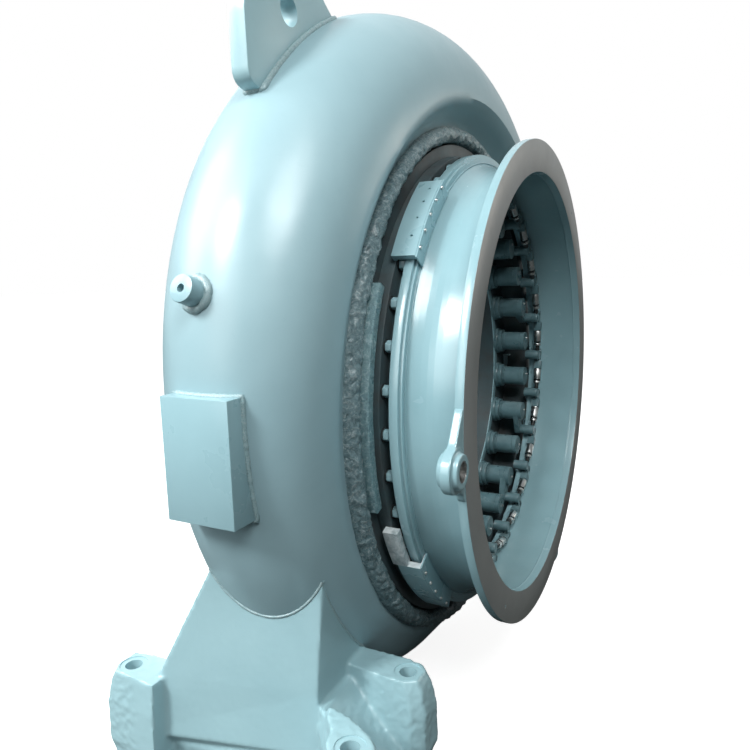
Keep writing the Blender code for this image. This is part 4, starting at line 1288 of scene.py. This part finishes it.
@dataclass
class RegulatingRing:
    """The regulating ring with its flange, tube, rim and servomotor ear."""

    radius: float = 0.700
    inner: float = 0.612
    outer: float = 0.625
    flange: float = 0.021
    ear: Point = (-0.7385, -0.0693)
    ear_radius: float = 0.050
    ear_bore: float = 0.0238

    def build(self) -> None:
        """Build the ring, its face, its ear and its welds."""
        profile = [(-0.0006, self.radius), (-self.flange, self.radius), (-self.flange, self.outer + 0.004),
                   (-self.flange - 0.004, self.outer), (-0.085, self.outer), (-0.100, 0.6262), (-0.115, 0.6290),
                   (-0.130, 0.6335), (-0.145, 0.6396), (-0.1575, 0.6462), (-0.1600, 0.6490), (-0.1600, 0.6640), (-0.1665, 0.6640), (-0.1665, 0.6738),
                   (-0.1884, 0.6738), (-0.1884, 0.5892), (-0.168, 0.5892), (-0.168, self.inner), (-0.026, self.inner),
                   (-0.0245, self.inner - 0.0012), (-0.0225, self.inner - 0.0012), (-0.021, self.inner),
                   (-0.0006, self.inner)]
        shape = bmesh.new()
        turned(shape, rounded(profile, 0.0009, arc=2), 300)
        add_piece("ring_body", shape, Finishes.ring, "regulating_ring", ["regulating_ring"])
        self.build_face()
        self.build_ear()
        seam = bmesh.new()
        weld_seam(seam, [polar(0.6496, step * 0.6, -0.1590) for step in range(600)], 0.0024, True, 21)
        weld_seam(seam, [polar(0.6262, step * 0.6, -0.0222) for step in range(600)], 0.0022, True, 22)
        add_piece("ring_welds", seam, Finishes.ring, "regulating_ring", sharp=70)

    def build_face(self) -> None:
        """Build the turned face of the flange with its two small holes."""
        shape = bmesh.new()
        turned(shape, rounded([(0.0, self.inner + 0.0008), (0.0, self.radius - 0.0008), (-0.004, self.radius - 0.0008),
                               (-0.004, self.inner + 0.0008)], 0.0008, arc=2), 300)
        cutter = bmesh.new()
        for angle in (52.3, -125.2):
            round_bar(cutter, polar(0.6615, angle, -0.003), polar(0.6615, angle, 0.01), 0.0045, sides=20)
        # The flange face takes the darker grey paint, painted shade and reflection.
        add_piece("ring_face", cut_away(shape, cutter, "ring_face"), Finishes.face, "regulating_ring")

    def build_ear(self) -> None:
        """Build the ear for the servomotor's rod, with its boss, collars and bush."""
        y, z = self.ear
        outline = [(-0.655, 0.061), (-0.6975, 0.0600), (y - 0.0065, z + 0.0490), (y - 0.035, z + 0.0360),
                   (y - 0.050, z), (y - 0.035, z - 0.0360), (y + 0.010, z - 0.0490), (-0.6985, -0.1330),
                   (-0.690, -0.150), (-0.635, -0.180)]
        shape = bmesh.new()
        flat_plate(shape, rounded(outline, 0.016, arc=5), -0.0012, 0.0004 - self.flange, 0.0012)
        centre = Vector((0, y, z))
        round_bar(shape, centre + Vector((0.0005, 0, 0)), centre + Vector((-0.0225, 0, 0)), self.ear_radius,
                  sides=72, bevel=0.0015)
        for start, end in ((-0.0005, 0.0126), (-0.0205, -0.0336)):
            round_bar(shape, centre + Vector((start, 0, 0)), centre + Vector((end, 0, 0)), 0.0405, 0.0375, 64, 0.0015)
        cutter = bmesh.new()
        round_bar(cutter, centre + Vector((0.05, 0, 0)), centre + Vector((-0.08, 0, 0)), self.ear_bore, sides=64)
        fused = remeshed(shape, "ear", 0.0022, 1)
        add_piece("servomotor_ear", cut_away(fused, cutter, "ear"), Finishes.ring, "regulating_ring", sharp=28)
        bush = bmesh.new()
        turned(bush, rounded([(0.0121, 0.0198), (0.0121, 0.0236), (-0.0331, 0.0236), (-0.0331, 0.0198)], 0.0008), 64)
        bmesh.ops.translate(bush, verts=bush.verts, vec=centre)
        add_piece("ear_bush", bush, Finishes.bore, "regulating_ring")


@dataclass
class Retainer:
    """An angled retainer that hooks over the ring's rim, with a thin plate screwed to its front."""

    name: str
    start: float
    end: float
    tongue: float = 0.0
    outer: float = 0.6965
    inner: float = 0.6520
    front: float = -0.1555
    rear: float = -0.2170
    plate: float = 0.0040

    def section(self) -> list[Point]:
        """Give the block's section as (x, radius) points."""
        return [(self.front, self.outer), (self.rear, self.outer), (self.rear, 0.6762), (-0.2076, 0.6762),
                (-0.2076, 0.6805), (-0.1585, 0.6805), (-0.1585, self.inner), (self.front, self.inner)]

    def build(self) -> None:
        """Build the retainer with its holes, its front plate and its screws."""
        shape = bmesh.new()
        turned(shape, rounded(self.section(), 0.0008, arc=2), 24, True, self.start, self.end - self.start)
        cutter = bmesh.new()
        for share in (0.14, 0.34, 0.56, 0.78):
            angle = self.start + (self.end - self.start) * share
            round_bar(cutter, polar(0.690, angle, -0.178), polar(0.705, angle, -0.178), 0.0032, sides=16)
        add_piece(self.name + "_block", cut_away(shape, cutter, self.name), Finishes.plate, stands_for=[self.name])
        self.build_plate()
        if self.tongue:
            self.build_ends()

    def build_plate(self) -> None:
        """Build the thin front plate and the five screws that hold it."""
        face = self.front + self.plate
        shape = bmesh.new()
        turned(shape, rounded([(face, self.outer - 0.0015), (self.front, self.outer - 0.0015),
                               (self.front, self.inner - 0.001), (face, self.inner - 0.001)], 0.0006, arc=2),
               24, True, self.start - 0.3, self.end - self.start + 0.6)
        add_piece(self.name + "_front_plate", shape, Finishes.plate)
        heads = bmesh.new()
        for share in (0.10, 0.30, 0.50, 0.70, 0.90):
            at = polar(0.6895, self.start + (self.end - self.start) * share, face)
            round_bar(heads, at, at + Vector((0.0042, 0, 0)), 0.0046, 0.0042, 16, 0.0008)
            round_bar(heads, at, at + Vector((0.0050, 0, 0)), 0.0021, sides=6)
        add_piece(self.name + "_screws", heads, Finishes.zinc)

    def build_ends(self) -> None:
        """Build the bare sawn faces at both ends, just proud of the cut, and the sawn tongue."""
        middle = Vector((-0.185, 0.6795))
        inset = [tuple(middle + (Vector(point) - middle) * 0.985) for point in self.section()]
        shape = bmesh.new()
        for angle, outward in ((self.start, -1), (self.end, 1)):
            turned(shape, inset, 1, True, angle, outward * 0.03)
        turned(shape, rounded([(-0.1900, 0.6758), (-0.1900, self.outer), (-0.2290, self.outer), (-0.2290, 0.6758)],
                              0.0006, arc=2), 24, True, self.start - self.tongue, self.tongue)
        bmesh.ops.recalc_face_normals(shape, faces=shape.faces)
        add_piece(self.name + "_sawn_ends", shape, Finishes.sawn)


@dataclass
class VaneGear:
    """The guide vanes with their levers, and the links to the regulating ring."""

    count: int = 24
    first: float = 52.5
    circle: float = 0.5152
    pin_circle: float = 0.560
    pin_lag: float = -6.5
    ring_circle: float = 0.5971
    ring_lead: float = 9.2

    def angles(self) -> list[float]:
        """Give the angle of each stem round the shaft."""
        return [self.first - 360 / self.count * index for index in range(self.count)]

    def lever_pin(self) -> Point:
        """Give the lever's pin from the stem, outward and round the shaft."""
        pin = polar(self.pin_circle, self.pin_lag)
        return pin.y - self.circle, pin.z

    def vane_shape(self) -> Shape:
        """Give one vane with its disc, hub, lever and blade, on its own axis."""
        shape = bmesh.new()
        profile = [(-0.1843, 0.0), (-0.1843, 0.0060), (-0.1831, 0.0075), (-0.1831, 0.0330), (-0.1840, 0.0340),
                   (-0.1980, 0.0340), (-0.1988, 0.0325), (-0.2000, 0.0325), (-0.2008, 0.0340), (-0.2120, 0.0340),
                   (-0.2540, 0.0340), (-0.2552, 0.0325), (-0.2572, 0.0325), (-0.2584, 0.0340), (-0.2671, 0.0340),
                   (-0.2671, 0.0260), (-0.4198, 0.0260), (-0.4198, 0.0)]
        turned(shape, profile, 40, closed=False)
        flat_plate(shape, hull_outline((0, 0), self.lever_pin(), 0.0335, 0.0195), -0.1939, -0.2135, 0.0015)
        flat_plate(shape, self.blade(), -0.4105, -0.5219, 0.0008)
        return shape

    def blade(self) -> list[Point]:
        """Give the blade's outline in the vane's own frame."""
        nose, tail, opening = 0.055, 0.082, 31
        chord = []
        for turn in range(96, 265, 24):
            at = math.radians(turn)
            chord.append((-nose + 0.008 * math.cos(at), 0.008 * math.sin(at)))
        lower = [(-0.030, -0.0128), (-0.010, -0.0158), (0.005, -0.0150), (0.020, -0.0122), (0.050, -0.0072),
                 (tail, -0.0028)]
        chord += lower + [(x, -y) for x, y in reversed(lower)]
        turn = math.radians(90 + opening)
        return [(x * math.cos(turn) - y * math.sin(turn), x * math.sin(turn) + y * math.cos(turn)) for x, y in chord]

    def build(self) -> None:
        """Build every vane and every link."""
        for index, angle in enumerate(self.angles()):
            name = f"guide_vane_{index + 1:02d}"
            at = Matrix.Translation(polar(self.circle, angle)) @ Matrix.Rotation(math.radians(angle), 4, "X")
            vane = self.vane_shape()
            cutter = bmesh.new()
            round_bar(cutter, Vector((-0.230, 0.028, 0)), Vector((-0.230, 0.060, 0)), 0.0040, sides=14)
            bmesh.ops.rotate(cutter, verts=cutter.verts, matrix=Matrix.Rotation(math.radians(96 - angle), 3, "X"),
                             cent=(0, 0, 0))
            vane = cut_away(vane, cutter, name)
            bmesh.ops.transform(vane, matrix=at, verts=vane.verts)
            add_piece(name + "_gear", vane, Finishes.gear, name, [name])
            trim = bmesh.new()
            round_bar(trim, Vector((-0.1840, 0.014, 0.008)), Vector((-0.1800, 0.014, 0.008)), 0.0045, sides=12,
                      bevel=0.0006)
            bmesh.ops.transform(trim, matrix=at, verts=trim.verts)
            add_piece(name + "_screw", trim, Finishes.bolt, name)
            self.build_link(index, angle)

    def build_link(self, index: int, angle: float) -> None:
        """Build a link: fork, sleeve, lock nut and eye.

        Args:
            index: the vane's number, from 0.
            angle: the vane's angle round the shaft.
        """
        body = f"link_{index + 1:02d}"
        x_rod = -0.150
        ring_pin = polar(self.ring_circle, angle + self.ring_lead, x_rod)
        lever_pin = polar(self.pin_circle, angle + self.pin_lag, x_rod)
        way = (lever_pin - ring_pin).normalized()
        side = way.cross(Vector((1, 0, 0))).normalized()
        front = Vector((1, 0, 0))
        painted = bmesh.new()
        round_bar(painted, lever_pin + front * (-0.1936 - x_rod), lever_pin + front * (-0.1445 - x_rod), 0.0172,
                  sides=36, bevel=0.0012)
        round_bar(painted, lever_pin + front * (-0.1455 - x_rod), lever_pin + front * (-0.1436 - x_rod), 0.0060,
                  sides=12)
        round_bar(painted, ring_pin + front * (-0.1677 - x_rod), ring_pin + front * (-0.1445 - x_rod), 0.0102,
                  sides=28, bevel=0.001)
        turn = Matrix((way, side, front)).transposed().to_4x4()
        spin = Matrix(((0, 1, 0, 0), (0, 0, 1, 0), (1, 0, 0, 0), (0, 0, 0, 1)))
        for level, start, end, half in ((-0.0110, 0.0, 0.040, 0.0085), (0.0020, 0.0, 0.040, 0.0085),
                                        (-0.0140, 0.037, 0.068, 0.0125)):
            arm = bmesh.new()
            thick = 0.0035 if start == 0.0 else 0.0250
            flat_plate(arm, [(start, -half), (end, -half), (end, half), (start, half)], level + thick, level, 0.0008)
            bmesh.ops.transform(arm, matrix=Matrix.Translation(ring_pin) @ turn @ spin, verts=arm.verts)
            merge(painted, arm)
        add_piece(body + "_fork", painted, Finishes.gear, body, [body])
        dark = bmesh.new()
        round_bar(dark, ring_pin + way * 0.060, ring_pin + way * 0.145, 0.0075, sides=16)
        round_bar(dark, ring_pin + way * 0.1090, ring_pin + way * 0.1140, 0.0132, sides=6, bevel=0.0006)
        add_piece(body + "_stud", dark, Finishes.black, body)
        zinc = bmesh.new()
        round_bar(zinc, ring_pin + way * 0.071, ring_pin + way * 0.1085, 0.0135, 0.0135, 6, 0.0009)
        round_bar(zinc, ring_pin + way * 0.069, ring_pin + way * 0.1095, 0.0112, sides=20)
        round_bar(zinc, ring_pin + way * 0.1180, ring_pin + way * 0.1265, 0.0138, sides=6, bevel=0.0008)
        add_piece(body + "_sleeve", zinc, Finishes.zinc, body)


@dataclass
class Studio:
    """The camera at the photograph's angle, a pale floor and soft lights."""

    camera: tuple[float, float, float] = (0.8889, -2.0858, 1.2771)
    turn: tuple[float, float, float] = (81.1387, 1.5047, 27.1007)
    lens: float = 32.04
    fill: Point = (0.50, 0.07)
    far_fill: float = 0.50
    floor_glow: float = 0.88

    def build(self) -> None:
        """Build the studio."""
        data = bpy.data.cameras.new("camera")
        data.lens, data.sensor_width = self.lens, 36.0
        viewer = bpy.data.objects.new("camera", data)
        viewer.location = self.camera
        viewer.rotation_euler = [math.radians(angle) for angle in self.turn]
        bpy.context.scene.collection.objects.link(viewer)
        bpy.context.scene.camera = viewer
        self.build_floor()
        self.build_world()
        for name, place, size, power, colour in (
                ("front_softbox", (-3.0, -7.3, 6.9), 2.1, 700.0, (0.98, 1.0, 1.0)),
                ("low_softbox", (-1.2, -5.8, 2.7), 3.0, 76.0, (0.98, 1.0, 1.0)),
                ("side_softbox", (-3.6, -2.4, 4.0), 3.2, 165.0, (1.0, 1.0, 1.0)),
                ("fill_softbox", (2.4, -3.3, 4.8), 2.4, 195.0, (0.97, 1.0, 1.0)),
                ("warm_softbox", (3.2, 2.8, 2.4), 2.2, 34.0, (1.0, 0.92, 0.82)),
                ("back_softbox", (-3.0, 3.2, 2.6), 2.2, 60.0, (1.0, 1.0, 1.0))):
            self.build_light(name, Vector(place), size, power, colour)
        bpy.context.scene.view_settings.view_transform = "Standard"

    def build_world(self) -> None:
        """Build a white backdrop that lights the object softly, less from the ring's side."""
        world = bpy.data.worlds.new("studio")
        world.use_nodes = True
        tree = world.node_tree
        wires = Wires(tree)
        soft = tree.nodes["Background"]
        way = wires.node("ShaderNodeSeparateXYZ", {0: wires.node("ShaderNodeTexCoord").outputs["Generated"]})
        side = wires.span(way.outputs["X"], -0.7, 0.6, self.fill[0], self.fill[1])
        far = wires.span(way.outputs["Y"], 0.2, 0.9, 0.0, self.far_fill)
        above = wires.span(way.outputs["Z"], -0.2, 0.9, 0.35, 1.4)
        tree.links.new(wires.math("MULTIPLY", wires.math("ADD", side, far), above), soft.inputs["Strength"])
        soft.inputs["Color"].default_value = (0.94, 0.98, 1.0, 1)
        backdrop = wires.node("ShaderNodeBackground", {"Color": (1, 1, 1, 1), "Strength": 1.0})
        seen = wires.node("ShaderNodeLightPath").outputs["Is Camera Ray"]
        blend = wires.node("ShaderNodeMixShader", {0: seen, 1: soft.outputs[0], 2: backdrop.outputs[0]})
        tree.links.new(blend.outputs[0], tree.nodes["World Output"].inputs["Surface"])
        bpy.context.scene.world = world

    def build_floor(self) -> None:
        """Build the plain pale floor."""
        shape = bmesh.new()
        bmesh.ops.create_circle(shape, cap_ends=True, segments=96, radius=60)
        mesh = mesh_of(shape, "floor")
        material = bpy.data.materials.new("pale_floor")
        material.use_nodes = True
        shader = material.node_tree.nodes["Principled BSDF"]
        shader.inputs["Roughness"].default_value = 0.9
        shader.inputs["Specular IOR Level"].default_value = 0.1
        shader.inputs["Emission Color"].default_value = (1, 1, 1, 1)
        wires = Wires(material.node_tree)
        seen = wires.node("ShaderNodeLightPath").outputs["Is Camera Ray"]
        material.node_tree.links.new(wires.math("MULTIPLY", seen, self.floor_glow), shader.inputs["Emission Strength"])
        material.node_tree.links.new(wires.mix(seen, (0.050, 0.052, 0.052, 1), (0.45, 0.45, 0.45, 1)),
                                     shader.inputs["Base Color"])
        mesh.materials.append(material)
        floor = bpy.data.objects.new("floor", mesh)
        bpy.context.scene.collection.objects.link(floor)

    def build_light(self, name: str, place: Vector, size: float, power: float,
                    colour: tuple[float, float, float]) -> None:
        """Build one round soft light that faces the casing."""
        data = bpy.data.lights.new(name, "AREA")
        data.shape, data.size, data.energy, data.color = "DISK", size, power, colour
        lamp = bpy.data.objects.new(name, data)
        lamp.location = place
        lamp.rotation_euler = (Vector((0.0, 0.0, 1.0)) - place).to_track_quat("-Z", "Y").to_euler()
        bpy.context.scene.collection.objects.link(lamp)


def main() -> None:
    """Build the finished turbine."""
    logging.basicConfig(level=logging.INFO, format="%(message)s")
    Studio().build()
    spiral = Spiral()
    spiral.build()
    Lug("near_lug", stands_for=("lifting_lug",)).build(spiral)
    Lug("far_lug", mirrored=True).build(spiral)
    Pad().build(spiral)
    Foot().build(spiral)
    InletPipe().build()
    gear = VaneGear()
    HeadCover().build(gear)
    RearCover().build()
    RegulatingRing().build()
    for name, start, end, tongue in (("ring_retainer_top_near", 126, 147, 0.0),
                                     ("ring_retainer_bottom_near", 213, 234, 9.7),
                                     ("ring_retainer_top_far", 33, 54, 0.0),
                                     ("ring_retainer_bottom_far", 306, 327, 0.0)):
        Retainer(name, start, end, tongue).build()
    gear.build()


if __name__ == "__main__":
    main()
